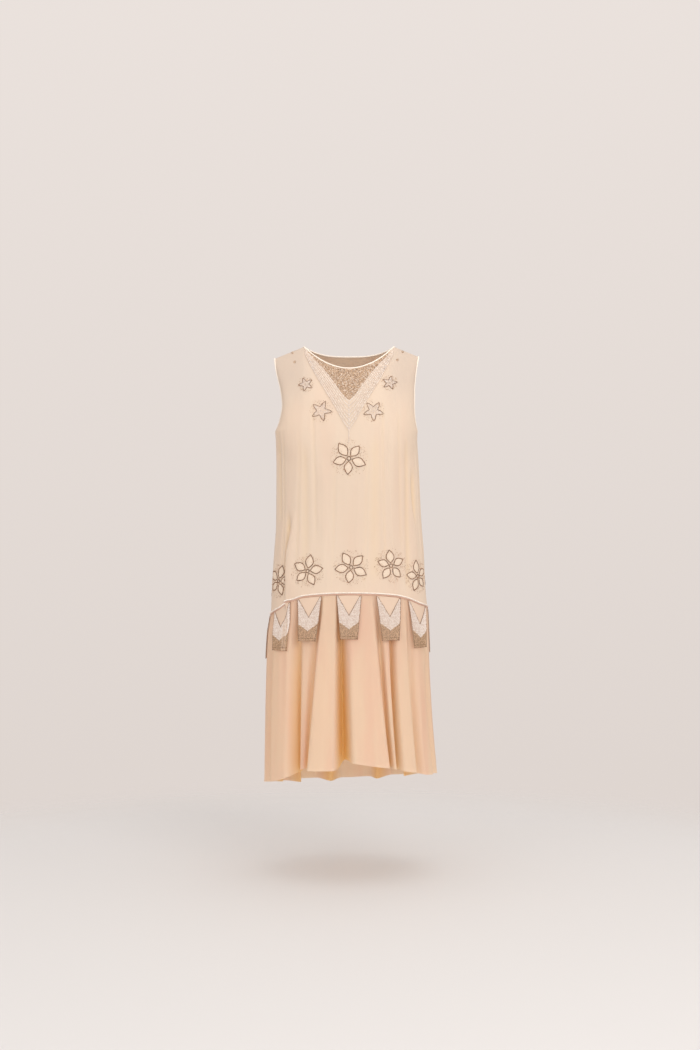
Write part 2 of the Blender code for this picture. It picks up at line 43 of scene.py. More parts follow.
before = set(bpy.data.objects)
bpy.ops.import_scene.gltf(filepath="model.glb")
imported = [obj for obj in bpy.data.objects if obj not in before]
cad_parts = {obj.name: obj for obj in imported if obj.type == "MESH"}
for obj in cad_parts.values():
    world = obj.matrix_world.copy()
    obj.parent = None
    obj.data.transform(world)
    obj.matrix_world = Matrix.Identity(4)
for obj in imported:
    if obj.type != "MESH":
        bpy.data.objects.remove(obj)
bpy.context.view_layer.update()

MM = 0.001

# Plain form, as in the solids
SEAM_GAP = 0.3
EDGE_GAP = 0.45
SECTION_POWER = 2.4
SMALL_STEP = 0.25
SIDE_TOLERANCE = 1e-6
BACK_SIDE_TURN = 90.0001
NECK_HALF_WIDTH = 113.0
SHOULDER_DROP = 30.0
SHOULDER_TIP = 186.0
SLOPE_LOW = -320.0
SLOPE_FADE = 220.0
INSET_END = 107.0
ARMHOLE_BOTTOM = -214.0
ARMHOLE_BOW = 6.0
ARMHOLE_EDGE_SHARE = 0.6
HOLE_FADE = 130.0
NOTCH_POWER = 8
BACK_NECK_DEPTH = 22.0
ARC_COLUMNS = 1441
NECK_SOLVE_STEPS = 14

# Cloth
BODICE_FOLD_FADE = 60.0
CREST_TOP_FADE = 90.0
CREST_LOW_FADE = 70.0
RIM_ANGLE = 60.0
GROUND_WALL = 0.7
# Painted shade on the bodice front: trough depth in mm for a full tint of the fold colour, and the
# most tint allowed.
FOLD_SHADE = 16.0
MOST_FOLD_SHADE = 0.3
YOKE_SHEERNESS = 0.75
YOKE_LOW = -190.0
YOKE_FADE = 120.0
YOKE_INNER = 60.0
YOKE_SPREAD = 70.0

# Columns and rows of the cloth's grids
FRONT_COLUMNS = (56, 44)
BACK_COLUMNS = (44, 40)
UPPER_ROWS = 46
UPPER_ROW_POWER = 1.4
FRONT_LOWER_ROWS = 90
BACK_LOWER_ROWS = 80
FLOUNCE_ROWS = 100
FLOUNCE_ROW_POWER = 1.15
SEAM_COLUMNS = 1600
SEAM_ROLL_STEP = 4

# Finishes
SILK_ROUGHNESS = 0.72
SILK_SHEEN = 0.12
SILK_SHEEN_ROUGHNESS = 0.5
SILK_BUMP = (0.25, 0.0006)
PATCH_SCALE = 8.0
PATCH_STRETCH = (2.2, 2.2, 0.3)
PATCH_START = 0.42
PATCH_END = 0.72
MOST_BLUSH = 0.85
GRAIN_SCALE = 1400.0
CREASE_SCALE = 60.0
CREASE_STRETCH = (1.6, 0.16, 1.0)
CREASE_WEIGHT = 3.0
THREAD_ROUGHNESS = 0.6
THREAD_SHEEN = 0.1
THREAD_SHADE = 0.86
THREAD_BUMP = (0.3, 0.0004)

# Bindings and the hip seam
BINDING_GAP = 0.2
BINDING_LIFT = 0.2
BINDING_HALF_HEIGHT = 2.0
BINDING_HALF_DEPTH = 1.9
PIPING_HALF_HEIGHT = 4.0
PIPING_LIFT = 1.4
SEAM_BEAD_PITCH = 3.4
SEAM_BEAD_LIFT = 3.0
SEAM_BEAD_RISE = 1.9
SEAM_BEAD_RADIUS = 1.3

# Beads, and those of the neck
BEAD_LIFT = 0.6
BEAD_FLATNESS = 0.8
INSET_TOP = -2.0
INSET_LOW = -141.0
INSET_SIDE = 112.0
INSET_MARGIN = 1.0
INSET_TONES = (0.9, 0.7)
INSET_SEED = 7
INSET_ROW_SHARE = 0.85
INSET_COVER = 0.8
INSET_SCATTER = 0.4
INSET_BEAD_RADIUS = 1.15
V_LIFT = 1.1
V_TAPER = 0.35
V_GROUND_END = 108.0
V_GROUND_ROWS = 16
V_END = 110.0
V_END_GAP = 4.0
V_END_STEP = 9.0
V_FIRST_ROW = 0.3
V_GAP_SHARE = 1.05
V_BEAD_LIFT = 1.6
V_BEAD_RADIUS = 1.3
V_STEM_TOP = -146.0
V_STEM_LOW = -243.0

# Flowers
LARGE_REACH = 30.0
LINE_PITCH_SHARE = 0.9
FILL_PITCH_SHARE = 1.3
STAR_PITCH_SHARE = 1.4
WAY_SCATTER = 4.0
REACH_SCATTER = 0.05
PETAL_START = 0.19
PETAL_WIDTH = 0.25
PETAL_POWER = 0.92
PETAL_RISE = 0.9
PETAL_LIFT = 0.15
PETAL_SINK = 0.2
PETAL_INNER_REACH = 0.86
PETAL_INNER_WIDTH = 0.5
EYE_RADIUS = 0.11
EYE_RING_RADIUS = 0.2
STAR_WAIST = 0.42
STAR_POWER = 0.9
STAR_INNER = 0.72
VEIN_LENGTH = 0.62
HAZE_NEAREST = 0.25
HAZE_FURTHEST = 1.25
HAZE_RADIUS = 0.75
FLOWER_BEAD_LIFT = 0.5
FLOWER_SEED = 40
RATE_STEP = 4.0
SEQUIN_SPOTS = ((-140, -16), (-134, -42), (134, -14), (120, -37))
SEQUIN_REACH = 2.6
SEQUIN_LIFT = 0.5
SEQUIN_RADIUS = 1.1

KIND_WORDS = "pitch_share haze_divisor inner_finish outline_radius fill_radius"
FlowerKind = namedtuple("FlowerKind", KIND_WORDS)
LARGE_KIND = FlowerKind(1.0, 1, "cream beads", 1.3, 1.0)
SMALL_KIND = FlowerKind(0.75, 3, "white beads", 0.85, 1.1)

# Flounce and tabs
FOLD_START = 0.004
VALLEY_GROWTH = 0.62
RIDGE_GROWTH = 0.8
RIDGE_SHOULDER = 0.8
RUN_TOP_FADE = 0.12
RUN_LOW_FADE = 0.25
RUN_AT_SEAM = 0.3
HEM_START = 0.988
HEM_ROLL = 0.8
# Painted glow in the flounce's valleys: the depth in mm where it starts, and the depth over which
# it grows to full.
FOLD_GLOW_RAMP = 40.0
FOLD_GLOW_START = 6.0
TAB_FALL = 0.2
TAB_TOP_FALL = 0.08
TAB_CLEAR_TURN = 4.0
TAB_COUNT = 10
FRONT_TAB_ARCS = (0.0, 96.0, 176.0)
TAB_TOP_WIDTH = 60.0
TAB_BOTTOM_WIDTH = 40.0
TAB_LENGTH = 109.0
TAB_LIFT = 0.5
TAB_FACE = 1.2
TAB_SWING = 1.5
TAB_V_DEPTH = 50.0
TAB_V_EDGE = 3.0
TAB_V_GAP = 1.5
TAB_GOLD_SIDE = 66.0
TAB_GOLD_MIDDLE = 84.0
TAB_ROW_SHARE = 0.87
TAB_FIRST_ROW = 1.5
TAB_LEFT_MARGIN = 1.6
TAB_RIGHT_MARGIN = 1.4
TAB_LINE_MARGIN = 0.4
TAB_LINE_START = 0.5
TAB_END_LINES = (0.6, 6.5)
TAB_BEAD_RADIUS = 1.2
TAB_LINE_RADIUS = 0.95
TAB_TONES = (1.2, 1.0)
TAB_SEED = 3

# Stage, in metres
FLOOR_HEIGHT = -1.3075
FLOOR_MIDDLE = -0.6
FLOOR_RADIUS = 1.9
FLOOR_FADE = 0.6
FLOOR_COLOUR = (0.68, 0.685, 0.69, 1)
WALL_LOW = (0.77, 0.70, 0.66)
WALL_HIGH = (0.86, 0.79, 0.75)
WALL_START = -0.16
WALL_END = 0.34
SKY_STRENGTH = 0.96
LAMP_COLOUR = (1.0, 0.965, 0.93)
AIM_DEPTH = 0.55
CAMERA_PLACE = (0.0025, -3.645, -0.445)
CAMERA_LENS = 50.0
CAMERA_SENSOR = 36.0

Lamp = namedtuple("Lamp", "name place size power")
LAMPS = (
    Lamp("key softbox", (1.9, -3.4, 1.0), 2.4, 55),
    Lamp("fill softbox", (-2.6, -2.8, 0.6), 2.6, 19),
    Lamp("top softbox", (0.3, -0.4, 2.4), 2.4, 26),
    Lamp("low softbox", (0.2, -3.2, -0.9), 1.6, 10),
)

Width = namedtuple("Width", "height left right")
WIDTHS = (
    Width(-1110, 204, 214),
    Width(-1060, 204, 213),
    Width(-1000, 204, 209),
    Width(-915, 204, 203),
    Width(-790, 203, 198),
    Width(-720, 201, 197),
    Width(-668, 195, 196),
    Width(-592, 192, 190),
    Width(-517, 187, 187),
    Width(-442, 182, 181),
    Width(-300, 181, 174),
    Width(-214, 183, 170),
    Width(-112, 184, 171),
    Width(-27, 186, 173),
)

# How far each armhole's edge lies inside those widths.
Notch = namedtuple("Notch", "height left right")
NOTCHES = (
    Notch(-214, 0, 0),
    Notch(-200, 8, 4),
    Notch(-180, 15, 8),
    Notch(-150, 20, 10),
    Notch(-112, 16, 10),
    Notch(-82, 9, 8),
    Notch(-57, 4, 5),
    Notch(-27, 0, 0),
)

Depth = namedtuple("Depth", "drop front back")
DEPTHS = (
    Depth(0, 0, 0),
    Depth(5, 14, 14),
    Depth(15, 26, 27),
    Depth(30, 40, 43),
    Depth(60, 61, 65),
    Depth(100, 82, 85),
    Depth(140, 97.5, 97),
    Depth(180, 107.5, 104.5),
    Depth(215, 114, 109),
    Depth(260, 118.5, 111),
    Depth(300, 119.5, 110.5),
    Depth(330, 118.5, 108.5),
    Depth(420, 111, 103),
    Depth(500, 107, 106),
    Depth(600, 111, 116),
    Depth(680, 118, 121),
    Depth(800, 133, 134),
    Depth(900, 146, 146),
    Depth(1000, 155, 155),
    Depth(1110, 160, 162),
)

# The neck's lines across the front: distance from the middle, and three heights there.
NeckLine = namedtuple("NeckLine", "across neck v_inner v_outer")
NECK_LINES = (
    NeckLine(0, -60, -142, -221),
    NeckLine(12, -59.5, -131, -203),
    NeckLine(29, -56, -108, -170),
    NeckLine(46, -50, -84, -141),
    NeckLine(59, -44, -67, -119),
    NeckLine(75, -34, -48, -92),
    NeckLine(91, -22, -32, -62),
    NeckLine(103, -10.5, -16, -36),
    NeckLine(113, 0, -1, -12),
)

SeamPoint = namedtuple("SeamPoint", "turn hip hem")
SEAM_POINTS = (
    SeamPoint(-180, -672, -1106),
    SeamPoint(-130, -673, -1104),
    SeamPoint(-90, -668, -1083),
    SeamPoint(-60, -650, -1070),
    SeamPoint(-47, -634, -1058),
    SeamPoint(-30, -618, -1034),
    SeamPoint(-6, -611.5, -1030),
    SeamPoint(0, -611, -1012),
    SeamPoint(12, -612, -1020),
    SeamPoint(30, -616, -1033),
    SeamPoint(47, -626, -1045),
    SeamPoint(60, -637, -1053),
    SeamPoint(90, -650, -1062),
    SeamPoint(130, -662, -1086),
    SeamPoint(180, -672, -1106),
)

# Soft folds in the bodice: a ridge where push is more than 0, and else a trough.
BodiceFold = namedtuple("BodiceFold", "top_turn low_turn half_width push top low")
BODICE_FOLDS = (
    BodiceFold(-44, -43, 4.5, 4.5, -430, -598),
    BodiceFold(-52, -51, 5.0, -6.0, -430, -600),
    BodiceFold(-33, -31, 6.0, -2.0, -260, -580),
    BodiceFold(-17, -14, 7.0, 2.0, -300, -578),
    BodiceFold(18, 15, 7.0, -2.2, -240, -578),
    BodiceFold(34, 30, 6.0, 2.6, -230, -582),
    BodiceFold(52, 46, 5.0, -3.0, -250, -592),
    BodiceFold(61, 61, 6.0, -5.0, -320, -430),
    BodiceFold(-70, -66, 6.0, -3.0, -225, -430),
    BodiceFold(150, 140, 8.0, -3.0, -260, -640),
    BodiceFold(176, 178, 9.0, 3.0, -240, -640),
    BodiceFold(-150, -142, 8.0, -3.0, -260, -640),
    BodiceFold(-38, -40, 2.2, -1.2, -235, -560),
    BodiceFold(-25, -22, 2.6, -1.1, -150, -470),
    BodiceFold(-8, -10, 2.4, -0.9, -300, -590),
    BodiceFold(5, 3, 3.0, 0.9, -330, -520),
    BodiceFold(11, 8, 2.4, -1.0, -260, -600),
    BodiceFold(25, 24, 2.0, -1.3, -150, -560),
    BodiceFold(29, 31, 2.2, 1.2, -200, -600),
    BodiceFold(42, 40, 2.6, -1.4, -180, -500),
    BodiceFold(-60, -58, 2.6, -1.6, -225, -610),
    BodiceFold(-77, -74, 3.0, 2.0, -220, -600),
    BodiceFold(70, 72, 3.0, 1.8, -240, -560),
    BodiceFold(80, 78, 3.0, -1.6, -300, -620),
    BodiceFold(102, 104, 4.0, -2.0, -240, -600),
    BodiceFold(118, 114, 3.4, 1.6, -160, -560),
    BodiceFold(131, 128, 3.0, -1.5, -300, -640),
    BodiceFold(163, 160, 3.2, -1.4, -120, -520),
    BodiceFold(-168, -166, 3.0, -1.2, -200, -600),
    BodiceFold(-135, -130, 3.4, 1.6, -180, -620),
    BodiceFold(-116, -118, 3.6, -2.0, -240, -600),
    BodiceFold(-103, -100, 3.0, 1.4, -300, -640),
)

# Folds that lie over on their side: how far out and how far round the cloth is carried.
Crest = namedtuple("Crest", "turn half_width push lean top low")
CRESTS = (
    Crest(-45.0, 5.0, 5.0, -12.0, -430, -690),
    Crest(57.0, 5.0, 3.0, 6.0, -360, -560),
)

# The flounce's valleys, each with the ridge that follows it as the turn grows. Each has a
# turn at the seam and one at the hem, and depths and ridges are at the hem. Flank is the
# part of the way to the next valley that each side takes, and curl is how far the ridge
# leans over its valleys there.
Flare = namedtuple("Flare", "seam_turn turn depth ridge flank curl columns")
FLARES = (
    Flare(-110, -110, 28, 7, 0.30, 5, 30),
    Flare(-70, -70, 10, 9, 0.26, 5, 28),
    Flare(-34, -37, 44, -16, 0.40, 1, 20),
    Flare(-17, -27.5, 26, 20, 0.24, 7, 34),
    Flare(-4, -2.5, 62, 24, 0.22, 10, 38),
    Flare(16, 25, 22, 3, 0.36, 1, 16),
    Flare(27, 30, 38, 12, 0.28, 5, 26),
    Flare(44, 48, 12, 8, 0.30, 4, 24),
    Flare(74, 74, 14, 6, 0.30, 4, 28),
    Flare(106, 106, 28, 8, 0.30, 5, 30),
    Flare(136, 134, 34, 14, 0.32, 5, 30),
    Flare(161, 162, 36, 16, 0.32, 5, 30),
    Flare(192, 191, 38, 16, 0.32, 5, 30),
    Flare(219, 221, 34, 9, 0.30, 5, 30),
)

# Shallow runs in the flounce's cloth: a turn at the seam and at the hem, and how far out.
FlounceRun = namedtuple("FlounceRun", "top_turn low_turn half_width push top low")
FLOUNCE_RUNS = (
    FlounceRun(-84, -82, 4.0, -2.6, 0.02, 0.9),
    FlounceRun(-62, -59, 3.0, 2.2, 0.05, 1.1),
    FlounceRun(-50, -47, 3.4, -2.6, 0.0, 0.8),
    FlounceRun(-20, -21, 2.4, -1.8, 0.1, 1.1),
    FlounceRun(-14, -11, 2.2, 1.5, 0.0, 0.7),
    FlounceRun(-10, -14, 2.6, -1.4, 0.35, 1.2),
    FlounceRun(7, 4, 2.4, -1.6, 0.0, 0.9),
    FlounceRun(12, 14, 2.6, 1.6, 0.2, 1.2),
    FlounceRun(18, 21, 2.2, -1.8, 0.0, 1.0),
    FlounceRun(48, 50, 2.6, -2.6, 0.0, 1.1),
    FlounceRun(56, 55, 2.8, 2.0, 0.1, 1.2),
    FlounceRun(65, 68, 3.0, -2.8, 0.0, 1.0),
    FlounceRun(84, 86, 3.4, -2.4, 0.05, 1.0),
    FlounceRun(96, 95, 3.0, 2.0, 0.2, 1.2),
    FlounceRun(118, 121, 3.4, -2.8, 0.0, 1.0),
    FlounceRun(126, 125, 2.6, 1.8, 0.1, 0.8),
    FlounceRun(145, 148, 3.4, -2.6, 0.0, 1.1),
    FlounceRun(154, 153, 2.4, 1.6, 0.3, 1.2),
    FlounceRun(172, 175, 3.2, -2.8, 0.0, 0.9),
    FlounceRun(183, 181, 2.8, 1.8, 0.1, 1.2),
    FlounceRun(203, 206, 3.4, -2.6, 0.0, 1.1),
    FlounceRun(213, 211, 2.6, 1.8, 0.2, 0.9),
    FlounceRun(232, 235, 3.4, -2.6, 0.0, 1.1),
    FlounceRun(262, 260, 3.4, -2.2, 0.1, 1.2),
)

# Flowers: where each one's middle lies, its reach, the way its first petal points, and how
# many petals it has.
Flower = namedtuple("Flower", "turn height reach lean petals")
FLOWERS = (
    Flower(0.0, -284, 41, -90, 5),
    Flower(-17.5, -168, 26, 68, 5),
    Flower(16.5, -168, 26, 128, 5),
    Flower(-31.0, -101, 19, 40, 5),
    Flower(31.5, -97, 19, 150, 5),
    Flower(0.8, -548, 39, 262, 5),
    Flower(-28.0, -557, 38, 82, 5),
    Flower(28.5, -544, 38, 98, 5),
    Flower(-62.0, -583, 38, 75, 5),
    Flower(61.0, -571, 38, 100, 5),
    Flower(106.0, -590, 38, 250, 5),
    Flower(151.0, -603, 38, 80, 5),
    Flower(180.0, -610, 38, 270, 5),
    Flower(-151.0, -608, 38, 100, 5),
    Flower(-107.0, -602, 38, 255, 5),
)


def smooth_curve(xs, ys):
    """Return a curve through the points that doesn't swing past them."""
    xs = np.array(xs, float)
    ys = np.array(ys, float)
    steps = np.diff(xs)
    rises = np.diff(ys) / steps
    slopes = np.zeros(len(xs))
    slopes[0] = rises[0]
    slopes[-1] = rises[-1]
    for i in range(1, len(xs) - 1):
        if rises[i - 1] * rises[i] > 0:
            slopes[i] = 2 * rises[i - 1] * rises[i] / (rises[i - 1] + rises[i])

    def at(x):
        x = np.clip(x, xs[0], xs[-1])
        i = np.clip(np.searchsorted(xs, x, side="right") - 1, 0, len(steps) - 1)
        u = (x - xs[i]) / steps[i]
        start = ys[i] * (1 + 2 * u) * (1 - u) ** 2 + slopes[i] * steps[i] * u * (1 - u) ** 2
        end = ys[i + 1] * u**2 * (3 - 2 * u) - slopes[i + 1] * steps[i] * u**2 * (1 - u)
        return start + end

    return at


def column(rows, name):
    """Return one named column of a table."""
    return [getattr(row, name) for row in rows]


def table_curve(rows, along, name):
    """Return the curve of one column of a table along another."""
    return smooth_curve(column(rows, along), column(rows, name))


LEFT_WIDTH = table_curve(WIDTHS, "height", "left")
RIGHT_WIDTH = table_curve(WIDTHS, "height", "right")
LEFT_NOTCH = table_curve(NOTCHES, "height", "left")
RIGHT_NOTCH = table_curve(NOTCHES, "height", "right")
DROP_ROOTS = np.sqrt(column(DEPTHS, "drop"))
FRONT_DEPTH = smooth_curve(DROP_ROOTS, column(DEPTHS, "front"))
BACK_DEPTH = smooth_curve(DROP_ROOTS, column(DEPTHS, "back"))
NECK_LINE = table_curve(NECK_LINES, "across", "neck")
V_INNER = table_curve(NECK_LINES, "across", "v_inner")
V_OUTER = table_curve(NECK_LINES, "across", "v_outer")
HIP_HEIGHT = table_curve(SEAM_POINTS, "turn", "hip")
HEM_HEIGHT = table_curve(SEAM_POINTS, "turn", "hem")


def ease(u):
    """Go smoothly from 0 to 1 as u does."""
    u = np.clip(u, 0, 1)
    return u * u * (3 - 2 * u)


def wrapped(turn):
    """Return the turn between -180 and 180."""
    return (np.asarray(turn, float) + 180) % 360 - 180


def shoulder_height(x):
    """Height of the shoulder line over a distance from the middle."""
    beyond = np.clip(np.abs(x) - NECK_HALF_WIDTH, 0, None)
    return -SHOULDER_DROP * beyond / (SHOULDER_TIP - NECK_HALF_WIDTH)


def hump(turn, middle, half_width):
    """A rise of 1 at one turn that falls smoothly to 0 on both sides of it."""
    return 1 - ease(np.abs(wrapped(turn - middle)) / half_width)


def bodice_fold_push(turn, height):
    """How far the bodice's soft folds push the cloth out."""
    push = np.zeros(np.broadcast(turn, height).shape)
    for fold in BODICE_FOLDS:
        share = np.clip((fold.top - height) / (fold.top - fold.low), 0, 1)
        middle = fold.top_turn + (fold.low_turn - fold.top_turn) * share
        fade_in = ease((fold.top - height) / BODICE_FOLD_FADE + 0.5)
        fade_out = ease((height - fold.low) / BODICE_FOLD_FADE + 0.5)
        push = push + fold.push * hump(turn, middle, fold.half_width) * fade_in * fade_out
    return push


def crest_shift(turn, height):
    """How far the folds that lie over carry the cloth out, and how far round."""
    push = np.zeros(np.broadcast(turn, height).shape)
    lean = np.zeros(np.broadcast(turn, height).shape)
    for crest in CRESTS:
        fade = ease((crest.top - height) / CREST_TOP_FADE)
        fade = fade * ease((height - crest.low) / CREST_LOW_FADE)
        rise = hump(turn, crest.turn, crest.half_width) * fade
        push = push + crest.push * rise
        lean = lean + crest.lean * rise
    return push, lean


def body_point(turn, height):
    """The dress's plain form with the bodice's folds: a point for a turn and a height."""
    turn = wrapped(turn)
    angle = np.radians(turn)
    power = 2 / SECTION_POWER
    across = np.sign(angle) * np.abs(np.sin(angle)) ** power
    along = np.abs(np.cos(angle)) ** power
    width = np.where(turn < 0, LEFT_WIDTH(height), RIGHT_WIDTH(height))
    notch = np.where(turn < 0, LEFT_NOTCH(height), RIGHT_NOTCH(height))
    x = across * width - np.sign(across) * notch * np.abs(across) ** NOTCH_POWER
    slope_share = ease((height - SLOPE_LOW) / SLOPE_FADE)
    drop = np.clip(shoulder_height(x) * slope_share - height, 0, None)
    front = np.abs(turn) <= 90 + SIDE_TOLERANCE
    depth = np.where(front, FRONT_DEPTH(np.sqrt(drop)), BACK_DEPTH(np.sqrt(drop)))
    tip = -SHOULDER_DROP
    low_end = ARMHOLE_BOTTOM - HOLE_FADE * along
    hole = np.clip((tip - height) / (tip - low_end), 0, 1)
    edge = ARMHOLE_EDGE_SHARE * (1 - hole**4) ** (0.5 + 2 * along)
    y = depth * (edge + (1 - edge) * along) + SEAM_GAP / 2
    y = np.where(front, -y, y)
    crest_push, lean = crest_shift(turn, height)
    push = bodice_fold_push(turn, height) + crest_push
    x = x + push * np.sin(angle) + lean * np.cos(angle)
    y = y - push * np.cos(angle) + lean * np.sin(angle)
    return np.stack([x, y, height + 0 * x], -1)


def unit(vectors):
    """Scale vectors to a length of 1."""
    return vectors / np.maximum(np.linalg.norm(vectors, axis=-1, keepdims=True), 1e-9)


def body_frame(turn, height):
    """Points of the cloth with its outward, sideways and downward directions."""
    here = body_point(turn, height)
    sideways = body_point(turn + SMALL_STEP, height) - body_point(turn - SMALL_STEP, height)
    downward = body_point(turn, height - 1.0) - body_point(turn, height + 1.0)
    outward = unit(np.cross(downward, sideways))
    return here, outward, unit(sideways), unit(downward)


def ring_frame(turn, height):
    """A point of the plain form with its level outward and sideways directions."""
    here = body_point(turn, height)
    sideways = body_point(turn + SMALL_STEP, height) - body_point(turn - SMALL_STEP, height)
    sideways[..., 2] = 0
    sideways = unit(sideways)
    outward = np.stack([sideways[..., 1], -sideways[..., 0], 0 * sideways[..., 0]], -1)
    return here, outward, sideways


def arcs_at(height):
    """Turns all round at one height, and the arc length from the front's middle to each."""
    turns = np.linspace(-180, 180, ARC_COLUMNS)
    ring = body_point(turns, np.full(len(turns), float(height)))
    arcs = np.concatenate([[0], np.cumsum(np.linalg.norm(np.diff(ring, axis=0), axis=1))])
    return turns, arcs - np.interp(0, turns, arcs)


def top_of_column(turn, line):
    """Height at which a column of the panel meets a line given by its distance across."""
    height = np.zeros(np.shape(turn))
    for _ in range(NECK_SOLVE_STEPS):
        height = line(body_point(turn, height)[..., 0])
    return height


def front_top(x):
    """Upper edge of the bodice front: the V, then the shoulder line."""
    inside = np.abs(x) < NECK_HALF_WIDTH
    return np.where(inside, V_INNER(np.abs(x)), shoulder_height(x))


def neck_front_line(x):
    """Height of the finished neck edge across the front."""
    return NECK_LINE(np.abs(x))


def back_top(x):
    """Upper edge of the bodice back: a shallow scoop, then the shoulder line."""
    share = np.clip(np.abs(x) / NECK_HALF_WIDTH, 0, 1)
    scoop = -BACK_NECK_DEPTH * (1 - share**3)
    return np.where(share < 1, scoop, shoulder_height(x))


def turn_of_neck_point(side):
    """Turn of the column that meets the shoulder line at the neck point."""
    width = RIGHT_WIDTH(0.0) if side > 0 else LEFT_WIDTH(0.0)
    share = (NECK_HALF_WIDTH / width) ** (SECTION_POWER / 2)
    return side * math.degrees(math.asin(share))


def column_turns(cells_to_neck, cells_to_side):
    """Turns of a panel's columns, with one at each neck point."""
    left = turn_of_neck_point(-1)
    right = turn_of_neck_point(1)
    parts = (
        np.linspace(-90, left, cells_to_side, endpoint=False),
        np.linspace(left, 0, cells_to_neck, endpoint=False),
        np.linspace(0, right, cells_to_neck, endpoint=False),
        np.linspace(right, 90, cells_to_side + 1),
    )
    return np.concatenate(parts)


def grid_between(upper, lower, shares):
    """Heights of a panel's rows between an upper and a lower edge."""
    return upper[None, :] + (lower - upper)[None, :] * np.asarray(shares)[:, None]


def grid_normals(points):
    """Outward directions at a grid whose rows go down and whose columns go to +X in front."""
    return unit(np.cross(np.gradient(points, axis=0), np.gradient(points, axis=1)))


def grid_lengths(points):
    """Distances across and down the cloth to each point of a grid, in metres."""
    across = np.linalg.norm(np.diff(points, axis=1), axis=2)
    down = np.linalg.norm(np.diff(points, axis=0), axis=2)
    u = np.concatenate([np.zeros((len(points), 1)), np.cumsum(across, axis=1)], axis=1)
    v = np.concatenate([np.zeros((1, points.shape[1])), np.cumsum(down, axis=0)], axis=0)
    u = u - u[:, points.shape[1] // 2][:, None]
    return np.stack([u * MM, -v * MM], -1)


def link_mesh(name, vertices, faces, material):
    """Make a smooth object from points in mm, and give it its material."""
    mesh = bpy.data.meshes.new(name)
    mesh.from_pydata(np.asarray(vertices) * MM, [], faces)
    mesh.shade_smooth()
    mesh.materials.append(material)
    piece = bpy.data.objects.new(name, mesh)
    bpy.context.scene.collection.objects.link(piece)
    return piece


def add_values(piece, name, values):
    """Keep one number for each vertex of a piece, for its material."""
    attribute = piece.data.attributes.new(name, "FLOAT", "POINT")
    attribute.data.foreach_set("value", np.asarray(values, np.float32).ravel())


def grid_quads(cell):
    """Four-sided faces of a grid of point numbers."""
    quads = np.stack([cell[:-1, :-1], cell[1:, :-1], cell[1:, 1:], cell[:-1, 1:]], -1)
    return quads.reshape(-1, 4)


def cloth_wall(name, points, thickness, material, fold=None, sheer=None, clamp=None):
    """Make a thin cloth wall from a grid of outer points, with its own cloth map."""
    rows, columns = points.shape[:2]
    inner_points = points - grid_normals(points) * thickness
    if clamp is not None:
        inner_points = clamp(inner_points)
    cell = np.arange(rows * columns).reshape(rows, columns)
    quads = grid_quads(cell)
    inner = rows * columns
    rim = np.concatenate([cell[0], cell[1:, -1], cell[-1, -2::-1], cell[-2:0:-1, 0]])
    after = np.roll(rim, -1)
    edge = np.stack([rim, after, after + inner, rim + inner], -1)
    faces = np.concatenate([quads, quads[:, ::-1] + inner, edge])
    vertices = np.concatenate([points.reshape(-1, 3), inner_points.reshape(-1, 3)])
    piece = link_mesh(name, vertices, faces.tolist(), material)
    piece.data.set_sharp_from_angle(angle=math.radians(RIM_ANGLE))
    lengths = grid_lengths(points).reshape(-1, 2)
    layer = piece.data.uv_layers.new(name="cloth")
    corners = np.concatenate([face for face in faces]) % inner
    layer.data.foreach_set("uv", lengths[corners].astype(np.float32).ravel())
    zero = np.zeros(rows * columns)
    # fold is the mask of the painted glow in folds; sheer is the cloth's own.
    fold = zero if fold is None else np.asarray(fold).ravel()
    sheer = zero if sheer is None else np.asarray(sheer).ravel()
    add_values(piece, "fold", np.concatenate([fold, fold]))
    add_values(piece, "sheer", np.concatenate([sheer, sheer]))
    return piece


def deselect_all():
    """Leave nothing selected, so that an operator acts only on what it makes."""
    bpy.ops.object.select_all(action="DESELECT")


def bead_shape(radius):
    """Model one small bead and return its points and faces, in mm."""
    deselect_all()
    bpy.ops.mesh.primitive_ico_sphere_add(subdivisions=1, radius=radius)
    bead = bpy.context.active_object
    bpy.ops.transform.resize(value=(1, 1, BEAD_FLATNESS))
    bpy.ops.object.transform_apply(location=False, rotation=False, scale=True)
    points = np.array([vertex.co[:] for vertex in bead.data.vertices])
    faces = np.array([face.vertices[:] for face in bead.data.polygons])
    mesh = bead.data
    bpy.data.objects.remove(bead)
    bpy.data.meshes.remove(mesh)
    return points, faces


def sew_beads(name, slot, finish, places, radius, tones=None):
    """Copy one bead to places, given as points and outward directions, as a single mesh."""
    centres, outward = places
    points, faces = bead_shape(radius)
    count = len(centres)
    side = unit(np.cross(outward, np.array([0.13, 0.31, 0.94])))
    other = np.cross(outward, side)
    spots = (
        centres[:, None, :]
        + side[:, None, :] * points[None, :, 0:1]
        + other[:, None, :] * points[None, :, 1:2]
        + outward[:, None, :] * points[None, :, 2:3]
    )
    all_faces = (faces[None] + np.arange(count)[:, None, None] * len(points)).reshape(-1, 3)
    piece = link_mesh(name, spots.reshape(-1, 3), all_faces.tolist(), finish_for(finish))
    if tones is None:
        tones = np.random.default_rng(len(centres)).random(count)
    add_values(piece, "tone", np.repeat(tones, len(points)))
    finish_piece(piece, slot)


def spaced(points, pitch):
    """Points along a path, a set distance apart."""
    lengths = np.linalg.norm(np.diff(points, axis=0), axis=1)
    arcs = np.concatenate([[0], np.cumsum(lengths)])
    count = max(int(arcs[-1] / pitch), 1)
    places = np.linspace(0, arcs[-1], count + 1)
    return np.stack([np.interp(places, arcs, points[:, k]) for k in range(points.shape[1])], -1)


